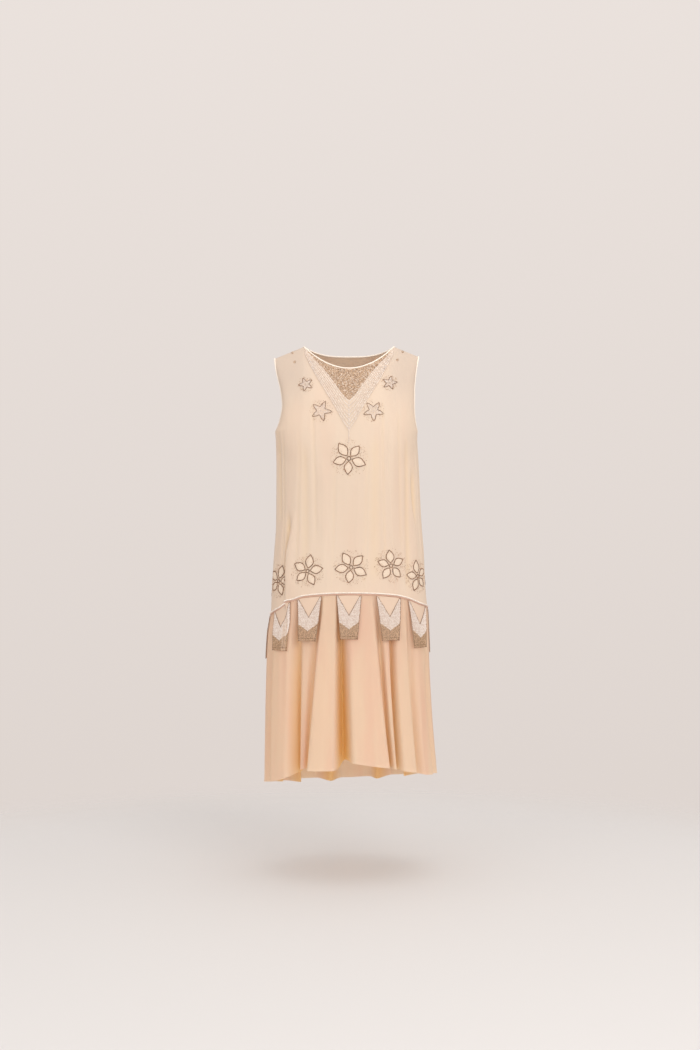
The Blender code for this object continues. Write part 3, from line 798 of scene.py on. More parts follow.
def flare_columns():
    """Two turns, and valley, crown and lean at the hem, for each column of the flounce."""
    columns = []
    for i, flare in enumerate(FLARES):
        after = FLARES[(i + 1) % len(FLARES)]
        seam_span = (after.seam_turn - flare.seam_turn) % 360
        span = (after.turn - flare.turn) % 360
        for step in range(flare.columns):
            way = (1 - math.cos(math.pi * step / flare.columns)) / 2
            flank = float(ease(min(way, 1 - way) / flare.flank))
            valley = flare.depth + (after.depth - flare.depth) * way
            arch = RIDGE_SHOULDER + (1 - RIDGE_SHOULDER) * math.sin(math.pi * way)
            crown = flare.ridge * arch
            lean = -flare.curl * flank * math.cos(math.pi * way)
            turns = (flare.seam_turn + seam_span * way, flare.turn + span * way)
            columns.append((*turns, -valley * (1 - flank), crown * flank, lean))
    return np.array(columns)


def run_push(turn, fall):
    """How far the flounce's shallow runs push the cloth out."""
    push = np.zeros(np.broadcast(turn, fall).shape)
    for run in FLOUNCE_RUNS:
        share = np.clip((fall - run.top) / (run.low - run.top), 0, 1)
        middle = run.top_turn + (run.low_turn - run.top_turn) * share
        fade = ease((fall - run.top) / RUN_TOP_FADE) * ease((run.low - fall) / RUN_LOW_FADE)
        push = push + run.push * hump(turn, middle, run.half_width) * fade
    return push


def flounce_grid(columns, falls):
    """Points of the flounce, and how deep in its folds each one lies, from 0 to 1, as the mask of
    painted glow.
    """
    seam_turn, hem_turn, depth, crown, lean = columns.T[:, None, :]
    fall = np.asarray(falls)[:, None]
    turn = seam_turn + (hem_turn - seam_turn) * fall
    hip = HIP_HEIGHT(wrapped(turn)) - SEAM_GAP
    height = hip + (HEM_HEIGHT(wrapped(turn)) - hip) * fall
    here, outward, sideways = ring_frame(turn, height)
    start = np.clip((fall - FOLD_START) / (1 - FOLD_START), 0, 1)
    valley = depth * start**VALLEY_GROWTH
    ridge = crown * start**RIDGE_GROWTH
    hem_roll = HEM_ROLL * ease((fall - HEM_START) / (1 - HEM_START))
    runs = run_push(turn, fall) * (RUN_AT_SEAM + (1 - RUN_AT_SEAM) * fall)
    out = valley + ridge + runs + hem_roll
    aside = lean * start**VALLEY_GROWTH
    points = here + outward * out[..., None] + sideways * aside[..., None]
    # Painted glow: the deeper a valley, the more of the fold colour it gets.
    return points, np.clip((-valley - FOLD_GLOW_START) / FOLD_GLOW_RAMP, 0, 1)


def tab_arc(number, around):
    """Arc from the front's middle to a tab: the front's tabs are the closest."""
    steps = number if number <= TAB_COUNT / 2 else number - TAB_COUNT
    near = min(abs(steps), len(FRONT_TAB_ARCS) - 1)
    last = FRONT_TAB_ARCS[-1]
    spacing = (around / 2 - last) / (TAB_COUNT / 2 - len(FRONT_TAB_ARCS) + 1)
    return math.copysign(FRONT_TAB_ARCS[near] + (abs(steps) - near) * spacing, steps)


class TabForm:
    """Where one tab hangs: points for distances across and down it, in mm."""

    columns = flare_columns()
    turns, arcs = arcs_at(HIP_HEIGHT(0.0))
    around = arcs[-1] - arcs[0]

    def __init__(self, number):
        self.middle = tab_arc(number, self.around)
        self.turn = self.turn_at(self.middle)
        self.hip = float(HIP_HEIGHT(self.turn))
        self.fall = TAB_LENGTH / (self.hip - float(HEM_HEIGHT(self.turn)))
        reach = np.max(np.abs(wrapped(self.turn_at(self.middle + TAB_TOP_WIDTH / 2) - self.turn)))
        seam_turn, hem_turn, _, crown, _ = self.columns.T
        at_tab = seam_turn + (hem_turn - seam_turn) * TAB_FALL
        covered = np.abs(wrapped(at_tab - self.turn)) <= reach + TAB_CLEAR_TURN
        self.crown = max(float(crown[covered].max()), 0.0)

    def turn_at(self, arc):
        """Turn at an arc length from the front's middle."""
        arc = (arc - self.arcs[0]) % self.around + self.arcs[0]
        return np.interp(arc, self.arcs, self.turns)

    def places(self, across, down, proud=0.0):
        """Points on the tab's outer face, and the directions out of it."""
        turn = self.turn_at(self.middle + across)
        top = HIP_HEIGHT(turn) - PIPING_HALF_HEIGHT - EDGE_GAP
        share = down / TAB_LENGTH
        here, outward, _ = ring_frame(turn, top + (self.hip - TAB_LENGTH - top) * share)
        part = TAB_TOP_FALL + (1 - TAB_TOP_FALL) * share
        fall = np.clip(self.fall * part - FOLD_START, 0, 1)
        lift = TAB_LIFT + self.crown * fall**RIDGE_GROWTH + TAB_SWING * share + TAB_FACE
        return here + outward * (lift + proud)[..., None], outward

    @staticmethod
    def half_width(down):
        """Half of the tab's width at a distance down it."""
        share = down / TAB_LENGTH
        return (TAB_TOP_WIDTH + (TAB_BOTTOM_WIDTH - TAB_TOP_WIDTH) * share) / 2


def new_material(name, roughness, metallic=0.0, coat=0.0, sheen=0.0):
    """Make a material with one Principled shader and return it with its nodes."""
    material = bpy.data.materials.new(name)
    material.use_nodes = True
    tree = material.node_tree
    shader = tree.nodes["Principled BSDF"]
    shader.inputs["Roughness"].default_value = roughness
    shader.inputs["Metallic"].default_value = metallic
    shader.inputs["Coat Weight"].default_value = coat
    shader.inputs["Sheen Weight"].default_value = sheen
    return material, tree, shader


def mixed_colour(tree, mask, first, second):
    """Mix two colours by a mask; a colour is a socket, or three numbers."""
    mix = tree.nodes.new("ShaderNodeMix")
    mix.data_type = "RGBA"
    tree.links.new(mask, mix.inputs[0])
    for place, colour in ((6, first), (7, second)):
        if isinstance(colour, bpy.types.NodeSocket):
            tree.links.new(colour, mix.inputs[place])
        else:
            mix.inputs[place].default_value = (*colour, 1)
    return mix.outputs[2]


def noise_over(tree, vector, scale, detail, stretch=None):
    """Noise over a vector, which may be stretched first."""
    if stretch:
        mapping = tree.nodes.new("ShaderNodeMapping")
        mapping.inputs["Scale"].default_value = stretch
        tree.links.new(vector, mapping.inputs["Vector"])
        vector = mapping.outputs["Vector"]
    texture = tree.nodes.new("ShaderNodeTexNoise")
    texture.inputs["Scale"].default_value = scale
    texture.inputs["Detail"].default_value = detail
    tree.links.new(vector, texture.inputs["Vector"])
    return texture.outputs["Fac"]


def mapped_range(tree, value, low, high, start, end):
    """Bring a value from one range to another, and return the node that does."""
    change = tree.nodes.new("ShaderNodeMapRange")
    change.inputs["From Min"].default_value = low
    change.inputs["From Max"].default_value = high
    change.inputs["To Min"].default_value = start
    change.inputs["To Max"].default_value = end
    tree.links.new(value, change.inputs["Value"])
    return change


def piece_value(tree, name):
    """Read one of a piece's own numbers."""
    node = tree.nodes.new("ShaderNodeAttribute")
    node.attribute_name = name
    return node.outputs["Fac"]


def bumped_normal(tree, height, strength, distance):
    """Turn a height into a normal."""
    node = tree.nodes.new("ShaderNodeBump")
    node.inputs["Strength"].default_value = strength
    node.inputs["Distance"].default_value = distance
    tree.links.new(height, node.inputs["Height"])
    return node.outputs["Normal"]


def silk_group():
    """Crepe silk: its colour in the light, a painted glow of bounced light deep in a fold, and its
    fine grain.
    """
    if "silk crepe" in bpy.data.node_groups:
        return bpy.data.node_groups["silk crepe"]
    group = bpy.data.node_groups.new("silk crepe", "ShaderNodeTree")
    for name in ("Cloth Colour", "Fold Colour", "Sheer Colour", "Blush Colour"):
        group.interface.new_socket(name, in_out="INPUT", socket_type="NodeSocketColor")
    group.interface.new_socket("Colour", in_out="OUTPUT", socket_type="NodeSocketColor")
    group.interface.new_socket("Height", in_out="OUTPUT", socket_type="NodeSocketFloat")
    inputs = group.nodes.new("NodeGroupInput")
    outputs = group.nodes.new("NodeGroupOutput")
    place = group.nodes.new("ShaderNodeTexCoord").outputs["Object"]
    patches = noise_over(group, place, PATCH_SCALE, 3.0, PATCH_STRETCH)
    blush = mapped_range(group, patches, PATCH_START, PATCH_END, 0.0, MOST_BLUSH)
    # Blush and sheer are the cloth's own; the fold mask mixes in painted glow, light bounced and
    # passed through deep in folds.
    layers = (
        (blush.outputs["Result"], "Blush Colour"),
        (piece_value(group, "sheer"), "Sheer Colour"),
        (piece_value(group, "fold"), "Fold Colour"),
    )
    colour = inputs.outputs["Cloth Colour"]
    for mask, name in layers:
        colour = mixed_colour(group, mask, colour, inputs.outputs[name])
    group.links.new(colour, outputs.inputs["Colour"])
    cloth = group.nodes.new("ShaderNodeUVMap")
    cloth.uv_map = "cloth"
    grain = noise_over(group, cloth.outputs["UV"], GRAIN_SCALE, 2.0)
    creases = noise_over(group, cloth.outputs["UV"], CREASE_SCALE, 3.0, CREASE_STRETCH)
    both = group.nodes.new("ShaderNodeMath")
    both.operation = "MULTIPLY_ADD"
    both.inputs[1].default_value = CREASE_WEIGHT
    group.links.new(creases, both.inputs[0])
    group.links.new(grain, both.inputs[2])
    group.links.new(both.outputs[0], outputs.inputs["Height"])
    return group


def silk_material(name, cloth, fold, sheer, blush, see_through):
    """Soft silk that lets some light through."""
    material, tree, shader = new_material(name, SILK_ROUGHNESS, sheen=SILK_SHEEN)
    shader.inputs["Sheen Roughness"].default_value = SILK_SHEEN_ROUGHNESS
    group = tree.nodes.new("ShaderNodeGroup")
    group.node_tree = silk_group()
    colours = {"Cloth": cloth, "Fold": fold, "Sheer": sheer, "Blush": blush}
    for part, colour in colours.items():
        group.inputs[part + " Colour"].default_value = (*colour, 1)
    normal = bumped_normal(tree, group.outputs["Height"], *SILK_BUMP)
    behind = tree.nodes.new("ShaderNodeBsdfTranslucent")
    mix = tree.nodes.new("ShaderNodeMixShader")
    mix.inputs[0].default_value = see_through
    link = tree.links.new
    link(group.outputs["Colour"], shader.inputs["Base Color"])
    link(group.outputs["Colour"], behind.inputs["Color"])
    link(normal, shader.inputs["Normal"])
    link(normal, behind.inputs["Normal"])
    link(shader.outputs["BSDF"], mix.inputs[1])
    link(behind.outputs["BSDF"], mix.inputs[2])
    link(mix.outputs["Shader"], tree.nodes["Material Output"].inputs["Surface"])
    return material


def bead_material(name, dark, light, roughness, metallic, coat):
    """Beads whose tone changes from one to the next."""
    material, tree, shader = new_material(name, roughness, metallic, coat)
    colour = mixed_colour(tree, piece_value(tree, "tone"), dark, light)
    tree.links.new(colour, shader.inputs["Base Color"])
    return material


def thread_material(name, colour, fineness):
    """Rolled silk or laid thread, with the small unevenness of either."""
    material, tree, shader = new_material(name, THREAD_ROUGHNESS, sheen=THREAD_SHEEN)
    place = tree.nodes.new("ShaderNodeTexCoord").outputs["Object"]
    uneven = noise_over(tree, place, fineness, 2.0)
    tint = mixed_colour(tree, uneven, colour, [THREAD_SHADE * part for part in colour])
    tree.links.new(tint, shader.inputs["Base Color"])
    normal = bumped_normal(tree, uneven, *THREAD_BUMP)
    tree.links.new(normal, shader.inputs["Normal"])
    return material


def finish_for(name):
    """Return a finish of the dress, made the first time it is asked for."""
    if name in bpy.data.materials:
        return bpy.data.materials[name]
    looks = bpy.context.scene.dress_looks
    # The fold colour is painted glow: light bounced and passed through the cloth deep in folds.
    fold = looks.painted_fold_glow
    flounce = looks.flounce_silk
    tab = looks.tab_silk
    ground = looks.beaded_ground
    silks = {
        "bodice silk": (looks.silk, fold, looks.sheer_yoke, looks.blush, 0.3),
        "flounce silk": (flounce, fold, flounce, looks.flounce_blush, 0.55),
        "tab silk": (tab, fold, tab, tab, 0.3),
        "beaded ground": (ground, fold, ground, ground, 0.2),
    }
    threads = {
        "rolled binding": (looks.binding, 260.0),
        "seam cord": (looks.seam_cord, 300.0),
        "petal satin": (looks.petal_satin, 420.0),
    }
    beads = {
        "white beads": (looks.white_bead_dark, looks.white_bead, 0.3, 0.0, 0.4),
        "gold beads": (looks.gold_bead_dark, looks.gold_bead, 0.35, 0.35, 0.2),
        "bronze beads": (looks.bronze_bead_dark, looks.bronze_bead, 0.6, 0.0, 0.0),
        "cream beads": (looks.cream_bead_dark, looks.cream_bead, 0.4, 0.0, 0.2),
    }
    if name in silks:
        return silk_material(name, *silks[name])
    if name in threads:
        return thread_material(name, *threads[name])
    return bead_material(name, *beads[name])


def finish_piece(piece, slot, *nodes):
    """Hang a finished piece on the dress's one body, in place of its solids."""
    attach(piece, "root")
    if nodes:
        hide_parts(*nodes)
    return piece


def yoke_sheerness(points):
    """How sheer the cloth is: most at the shoulders, where nothing lies behind it."""
    high = ease((points[..., 2] - YOKE_LOW) / YOKE_FADE)
    aside = ease((np.abs(points[..., 0]) - YOKE_INNER) / YOKE_SPREAD)
    return YOKE_SHEERNESS * high * aside


class DressSizes(bpy.types.PropertyGroup):
    """Sizes that a user would change."""

    cloth_thickness: FloatProperty(
        name="Cloth thickness", description="Thickness of the silk", default=0.0008, unit="LENGTH"
    )
    bead_pitch: FloatProperty(
        name="Bead pitch", description="From one bead to the next", default=0.0023, unit="LENGTH"
    )
    v_rows: IntProperty(name="V rows", description="Bead rows in the neck's V", default=7)
    haze_beads: IntProperty(
        name="Haze beads", description="Tiny beads scattered round each large flower", default=230
    )


def colour_property(name, description, colour):
    """A colour that a user would change."""
    return FloatVectorProperty(
        name=name, description=description, default=colour, subtype="COLOR", min=0, max=1
    )


class DressLooks(bpy.types.PropertyGroup):
    """Colours of the dress's cloth and beads."""

    silk: colour_property("Bodice silk", "Bodice silk in the light", (0.87, 0.75, 0.62))
    blush: colour_property("Bodice blush", "Pinker patches of it", (0.86, 0.71, 0.58))
    flounce_silk: colour_property("Flounce silk", "Flounce in the light", (0.94, 0.81, 0.66))
    flounce_blush: colour_property("Flounce blush", "Pinker patches of it", (0.93, 0.735, 0.60))
    # Painted light: brighter and warmer than the silk, standing in for light bounced and passed
    # through deep in a fold.
    painted_fold_glow: colour_property("Deep fold", "Silk deep in a fold", (1.00, 0.80, 0.45))
    tab_silk: colour_property("Tab silk", "Silk of the hanging tabs", (0.86, 0.70, 0.56))
    sheer_yoke: colour_property("Sheer yoke", "Silk with nothing behind it", (0.72, 0.62, 0.53))
    beaded_ground: colour_property("Beaded ground", "Cloth under the beads", (0.77, 0.65, 0.54))
    binding: colour_property("Binding", "Rolled cream binding", (0.96, 0.88, 0.78))
    seam_cord: colour_property("Seam cord", "Pink-brown cord of the seam", (0.72, 0.46, 0.36))
    petal_satin: colour_property("Petal satin", "Laid thread of petals", (0.78, 0.65, 0.52))
    white_bead: colour_property("White bead", "Light white beads", (0.97, 0.91, 0.86))
    white_bead_dark: colour_property("White bead, dark", "Dark white beads", (0.74, 0.62, 0.54))
    gold_bead: colour_property("Gold bead", "Light gold beads", (0.74, 0.54, 0.36))
    gold_bead_dark: colour_property("Gold bead, dark", "Dark gold beads", (0.36, 0.21, 0.12))
    bronze_bead: colour_property("Bronze bead", "Light bronze beads", (0.32, 0.16, 0.085))
    bronze_bead_dark: colour_property("Bronze bead, dark", "Dark bronze", (0.13, 0.06, 0.03))
    cream_bead: colour_property("Cream bead", "Light cream beads", (0.88, 0.72, 0.56))
    cream_bead_dark: colour_property("Cream bead, dark", "Dark cream", (0.70, 0.52, 0.38))


class DRESS_OT_bodice(bpy.types.Operator):
    """Make the front and back panels of the bodice"""

    bl_idname = "dress.bodice"
    bl_label = "Bodice panels"

    def execute(self, context):
        rows = np.sin(np.linspace(0, math.pi / 2, UPPER_ROWS)) ** UPPER_ROW_POWER
        turns = column_turns(*FRONT_COLUMNS)
        self.make("front", turns, front_top, rows, FRONT_LOWER_ROWS, (0.50, 0.67))
        rows = (1 - np.cos(np.linspace(0, math.pi, UPPER_ROWS))) / 2
        turns = 180 - column_turns(*BACK_COLUMNS)[::-1]
        turns[[0, -1]] = (BACK_SIDE_TURN, 360 - BACK_SIDE_TURN)
        self.make("back", turns, back_top, rows, BACK_LOWER_ROWS, (0.52, 0.70))
        return {"FINISHED"}

    def make(self, half, turns, top_line, upper, lower_count, flat):
        """Make one panel, from its neck and shoulder line to the hip seam."""
        front = half == "front"
        top = top_of_column(turns, top_line)
        hip = HIP_HEIGHT(wrapped(turns)) + SEAM_GAP
        armhole = np.full(len(turns), ARMHOLE_BOTTOM - ARMHOLE_BOW)
        armhole[[0, -1]] = ARMHOLE_BOTTOM
        lower = np.linspace(0, 1, lower_count)[1:]
        heights = np.concatenate(
            [grid_between(top, armhole, upper), grid_between(armhole, hip, lower)]
        )
        points = body_point(turns[None, :], heights)
        side = -1 if front else 1

        def keep_apart(inner):
            """Keep the panel's inner face on its own side of the side seams."""
            along = side * np.maximum(side * inner[..., 1:2], SEAM_GAP / 2)
            return np.concatenate([inner[..., :1], along, inner[..., 2:]], -1)

        # Painted shade: the front's troughs take some of the painted fold glow colour.
        shade = -bodice_fold_push(turns[None, :], heights) / FOLD_SHADE
        panel = cloth_wall(
            half + "_bodice_cloth",
            points,
            bpy.context.scene.dress_sizes.cloth_thickness / MM,
            finish_for("bodice silk"),
            fold=np.clip(shade, 0, MOST_FOLD_SHADE) if front else None,
            sheer=yoke_sheerness(points),
            clamp=keep_apart,
        )
        finish_piece(panel, "peach_silk", half + "_bodice")


class DRESS_OT_neck(bpy.types.Operator):
    """Make the beaded inset and the beaded V at the neck"""

    bl_idname = "dress.neck"
    bl_label = "Neck inset and V"

    def execute(self, context):
        sizes = context.scene.dress_sizes
        thick = sizes.cloth_thickness / MM
        pitch = sizes.bead_pitch / MM
        turns = column_turns(*FRONT_COLUMNS)
        x = body_point(turns, top_of_column(turns, front_top))[:, 0]
        turns = turns[np.abs(x) <= INSET_END]
        low = top_of_column(turns, front_top) + EDGE_GAP
        high = top_of_column(turns, neck_front_line)
        points = body_point(turns[None, :], grid_between(high, low, np.linspace(0, 1, 26)))
        inset = cloth_wall("neck_inset_cloth", points, thick, finish_for("beaded ground"))
        finish_piece(inset, "gold_beads", "neck_inset")
        random = np.random.default_rng(INSET_SEED)
        grid = []
        xs = np.arange(-INSET_SIDE, INSET_SIDE + 0.1, pitch)
        for height in np.arange(INSET_TOP, INSET_LOW, -pitch * INSET_ROW_SHARE):
            inside = NECK_LINE(np.abs(xs)) > height + INSET_MARGIN
            inside = inside & (V_INNER(np.abs(xs)) < height - INSET_MARGIN)
            for across in xs[inside]:
                grid.append((across, height))
        grid = np.array(grid)[random.random(len(grid)) < INSET_COVER]
        grid = grid + random.normal(0, INSET_SCATTER, grid.shape)
        places = places_on_front(grid[:, 0], grid[:, 1], BEAD_LIFT)
        tones = random.beta(*INSET_TONES, len(grid))
        sew_beads("neck_inset_beads", "gold_beads", "gold beads", places, INSET_BEAD_RADIUS, tones)
        self.make_v(context, pitch)
        return {"FINISHED"}

    def make_v(self, context, pitch):
        """Make the V's ground and its rows of white beads."""
        rows = context.scene.dress_sizes.v_rows
        xs = np.linspace(-V_GROUND_END, V_GROUND_END, 121)
        inner = V_INNER(np.abs(xs))
        outer = V_OUTER(np.abs(xs))
        shares = np.linspace(0, 1, V_GROUND_ROWS)[:, None]
        heights = inner[None, :] + (outer - inner)[None, :] * shares
        across = np.repeat(xs[None, :], V_GROUND_ROWS, axis=0)
        proud = (V_LIFT - V_TAPER * shares)[:, :, None] + 0 * xs[None, :, None]
        ground, _ = places_on_front(across, heights, proud)
        band = cloth_wall("neck_v_ground", ground, GROUND_WALL, finish_for("bodice silk"))
        finish_piece(band, "white_beads", "neck_v_band")
        paths = []
        xs = np.linspace(-V_END, V_END, 401)
        inner = V_INNER(np.abs(xs))
        drop = V_OUTER(np.abs(xs)) - inner
        gap = V_GAP_SHARE * pitch
        for row in range(rows):
            height = inner + drop * (row + V_FIRST_ROW) / rows
            reach = NECK_HALF_WIDTH - V_END_GAP - V_END_STEP * (row % 3)
            for side in (-1, 1):
                part = (xs * side >= 0) & (np.abs(xs) < reach)
                paths.append(spaced(np.stack([xs[part], height[part]], -1), gap))
        paths.append(spaced(np.array([(0.0, V_STEM_TOP), (0.0, V_STEM_LOW)]), gap))
        flat = np.concatenate(paths)
        places = places_on_front(flat[:, 0], flat[:, 1], V_BEAD_LIFT)
        sew_beads("neck_v_beads", "white_beads", "white beads", places, V_BEAD_RADIUS)


def places_on_front(across, height, proud):
    """Points on the bodice front for distances across and heights, moved out."""
    across = np.asarray(across, float)
    width = np.where(across < 0, LEFT_WIDTH(height), RIGHT_WIDTH(height))
    share = np.clip(np.abs(across) / width, 0, 0.999)
    turn = np.sign(across) * np.degrees(np.arcsin(share ** (SECTION_POWER / 2)))
    here, outward, _, _ = body_frame(turn, height)
    return here + outward * proud, outward


def piping_ring():
    """Points of the hip seam with their outward directions."""
    turns = np.linspace(-180, 180, SEAM_COLUMNS, endpoint=False)
    here, outward, _ = ring_frame(turns, HIP_HEIGHT(turns))
    return here, outward


def ring_tube(name, path, outward, half_height, half_depth, sides, material):
    """Make a closed ring with an oval section along a closed path."""
    count = len(path)
    tangent = unit(np.roll(path, -1, axis=0) - np.roll(path, 1, axis=0))
    outward = unit(outward - tangent * np.sum(outward * tangent, axis=1, keepdims=True))
    upward = np.cross(outward, tangent)
    angles = 2 * math.pi * np.arange(sides) / sides
    across = outward[:, None] * np.cos(angles)[None, :, None] * half_depth
    tall = upward[:, None] * np.sin(angles)[None, :, None] * half_height
    vertices = (path[:, None] + across + tall).reshape(-1, 3)
    cell = np.arange(count * sides).reshape(count, sides)
    after = np.roll(cell, -1, axis=0)
    faces = np.stack([cell, after, np.roll(after, -1, axis=1), np.roll(cell, -1, axis=1)], -1)
    return link_mesh(name, vertices, faces.reshape(-1, 4).tolist(), material)


class DRESS_OT_bindings(bpy.types.Operator):
    """Make the rolled bindings of the neck and the armholes"""

    bl_idname = "dress.bindings"
    bl_label = "Bindings"

    def execute(self, context):
        front = column_turns(40, 10)[10:-10]
        back = (180 - column_turns(30, 10)[::-1])[10:-10]
        turns = np.concatenate([front, back[1:-1]])
        heights = np.concatenate(
            [top_of_column(front, neck_front_line), top_of_column(back[1:-1], back_top)]
        )
        self.make("neck_binding_roll", turns, heights, "neck_binding")
        for side, word in ((-1, "left"), (1, "right")):
            tip = float(top_of_column(np.array([90.0 * side]), front_top)[0])
            share = (1 - np.cos(np.linspace(0, math.pi, 61))) / 2
            down = tip + (ARMHOLE_BOTTOM - tip) * share
            turns = np.concatenate([np.full(61, 90.0), np.full(59, BACK_SIDE_TURN)]) * side
            heights = np.concatenate([down, down[-2:0:-1]])
            name = f"armhole_binding_{word}"
            self.make(name + "_roll", turns, heights, name)
        return {"FINISHED"}

    def make(self, name, turns, heights, node):
        """Make one roll along an opening's edge."""
        edge, outward = edge_frame(turns, heights)
        tangent = np.roll(edge, -1, axis=0) - np.roll(edge, 1, axis=0)
        away = unit(np.cross(tangent, outward))
        if np.sum((edge.mean(axis=0) - edge) * away) < 0:
            away = -away
        path = edge + outward * BINDING_LIFT + away * BINDING_GAP
        sizes = (BINDING_HALF_HEIGHT, BINDING_HALF_DEPTH, 10)
        roll = ring_tube(name, path, outward, *sizes, finish_for("rolled binding"))
        finish_piece(roll, "cream_binding", node)


def edge_frame(turns, heights):
    """Points of an edge with the plain form's outward direction there."""
    here = body_point(turns, heights)
    at_side = np.abs(np.abs(wrapped(turns)) - 90) < 1
    side = np.where(at_side, np.sign(wrapped(turns)), 0.0)
    back = np.abs(wrapped(turns)) > 90 + SIDE_TOLERANCE
    nudge = np.where(back, 1.0, -1.0) * side
    beside = np.where(side == 0, turns + SMALL_STEP, turns + nudge)
    flip = np.where(side == 0, 1.0, nudge)
    across = (body_point(beside, heights) - here) * flip[:, None]
    below = body_point(turns, heights - SMALL_STEP) - here
    return here, unit(np.cross(below, across))


class DRESS_OT_hip_seam(bpy.types.Operator):
    """Make the two rolls of the piping and the row of beads on the hip seam"""

    bl_idname = "dress.hip_seam"
    bl_label = "Hip seam"

    def execute(self, context):
        here, outward = piping_ring()
        rolls = (
            ("hip_seam_upper_roll", 1.7, 1.9, "rolled binding", ("hip_piping",)),
            ("hip_seam_lower_roll", -2.3, 1.2, "seam cord", ()),
        )
        for name, rise, radius, finish, nodes in rolls:
            away = outward[::SEAM_ROLL_STEP]
            path = here[::SEAM_ROLL_STEP] + away * PIPING_LIFT + np.array([0, 0, rise])
            roll = ring_tube(name, path, away, radius, radius, 8, finish_for(finish))
            finish_piece(roll, "white_beads", *nodes)
        loop = np.concatenate([here, outward], axis=1)
        spots = spaced(np.concatenate([loop, loop[:1]]), SEAM_BEAD_PITCH)[:-1]
        outward = spots[:, 3:]
        centres = spots[:, :3] + outward * SEAM_BEAD_LIFT + np.array([0, 0, SEAM_BEAD_RISE])
        places = (centres, outward)
        sew_beads("hip_seam_beads", "white_beads", "white beads", places, SEAM_BEAD_RADIUS)
        return {"FINISHED"}


class DRESS_OT_flounce(bpy.types.Operator):
    """Make the two halves of the flounce"""

    bl_idname = "dress.flounce"
    bl_label = "Flounce"

    def execute(self, context):
        thick = context.scene.dress_sizes.cloth_thickness / MM
        columns = flare_columns()
        falls = np.linspace(0, 1, FLOUNCE_ROWS) ** FLOUNCE_ROW_POWER
        points, fold = flounce_grid(columns, falls)
        turns = columns[:, 1]
        right = int(np.argmin(np.abs(turns - 90)))
        left = int(np.argmin(np.abs(turns + 90)))
        count = len(columns)
        points = np.concatenate([points, points], axis=1)
        fold = np.concatenate([fold, fold], axis=1)
        halves = (
            ("skirt_front_cloth", "skirt_front", left, right + 1, (0.95, 0.46)),
            ("skirt_back_cloth", "skirt_back", right, left + count + 1, (1.15, 0.46)),
        )
        for name, node, first, last, flat in halves:
            grid = points[:, first:last]
            silk = finish_for("flounce silk")
            wall = cloth_wall(name, grid, thick, silk, fold=fold[:, first:last])
            finish_piece(wall, "peach_silk", node)
        return {"FINISHED"}


class DRESS_OT_tabs(bpy.types.Operator):
    """Make the ten beaded tabs that hang from the hip seam"""

    bl_idname = "dress.tabs"
    bl_label = "Tabs"

    def execute(self, context):
        pitch = context.scene.dress_sizes.bead_pitch / MM
        for number in range(TAB_COUNT):
            form = TabForm(number)
            name = f"tab_{number + 1:02d}"
            down = np.linspace(0, TAB_LENGTH, 40)[:, None]
            across = np.linspace(-1, 1, 20)[None, :] * form.half_width(down)
            points, _ = form.places(across, down + 0 * across)
            cloth = cloth_wall(name + "_cloth", points, GROUND_WALL, finish_for("tab silk"))
            finish_piece(cloth, "tab_beads", name)
            self.make_beads(form, name, pitch)
        return {"FINISHED"}

    def make_beads(self, form, name, pitch):
        """Sew the white chevron, the gold end and the bronze lines of one tab."""
        white = []
        gold = []
        v_half = TAB_TOP_WIDTH / 2 - TAB_V_EDGE
        downs = np.arange(TAB_FIRST_ROW, TAB_LENGTH - 1, pitch * TAB_ROW_SHARE)
        for row, down in enumerate(downs):
            half = float(form.half_width(down))
            shift = pitch / 4 * (row % 2)
            steps = np.arange(-half + TAB_LEFT_MARGIN, half - TAB_RIGHT_MARGIN, pitch)
            for across in steps + shift:
                share = abs(across) / half
                above = TAB_V_DEPTH * (1 - abs(across) / v_half)
                below = TAB_GOLD_MIDDLE + (TAB_GOLD_SIDE - TAB_GOLD_MIDDLE) * share
                if down > below:
                    gold.append((across, down))
                elif down > above + TAB_V_GAP:
                    white.append((across, down))
        lines = []
        gap = pitch * LINE_PITCH_SHARE
        downs = np.linspace(TAB_LINE_START, TAB_LENGTH, 60)
        for side in (-1, 1):
            edge = side * (form.half_width(downs) - TAB_LINE_MARGIN)
            lines.append(spaced(np.stack([edge, downs], -1), gap))
            arm = np.array([(side * v_half, TAB_LINE_START), (0.0, TAB_V_DEPTH)])
            lines.append(spaced(arm, gap))
        for rise in TAB_END_LINES:
            low = TAB_LENGTH - rise
            half = float(form.half_width(low)) - TAB_LINE_MARGIN
            lines.append(spaced(np.array([(-half, low), (half, low)]), gap))
        groups = (
            ("white_beads", "white beads", np.array(white), TAB_BEAD_RADIUS),
            ("gold_beads", "gold beads", np.array(gold), TAB_BEAD_RADIUS),
            ("bronze_beads", "bronze beads", np.concatenate(lines), TAB_LINE_RADIUS),
        )
        for word, finish, spots, radius in groups:
            places = form.places(spots[:, 0], spots[:, 1], BEAD_LIFT)
            random = np.random.default_rng(len(spots) + TAB_SEED)
            tones = random.beta(*TAB_TONES, len(spots))
            sew_beads(f"{name}_{word}", "tab_beads", finish, places, radius, tones)


def petal_points(reach, way, along, across):
    """Points of one pointed petal round the flower's middle; across goes from -1 to 1."""
    start = PETAL_START * reach
    width = PETAL_WIDTH * reach * np.sin(math.pi * np.clip(along, 0, 1) ** PETAL_POWER)
    out = start + (reach - start) * along
    return turned(np.stack([out, across * width], -1), way)


def turned(flat, way):
    """Turn flat points by a number of degrees."""
    lean = math.radians(way)
    x = flat[..., 0] * math.cos(lean) - flat[..., 1] * math.sin(lean)
    y = flat[..., 0] * math.sin(lean) + flat[..., 1] * math.cos(lean)
    return np.stack([x, y], -1)


def petal_outline(reach, way, inset=1.0):
    """The closed outline of a petal."""
    along = np.concatenate([np.linspace(0, 1, 40), np.linspace(1, 0, 40)])
    across = np.concatenate([np.ones(40), -np.ones(40)]) * inset
    return petal_points(reach, way, along, across)


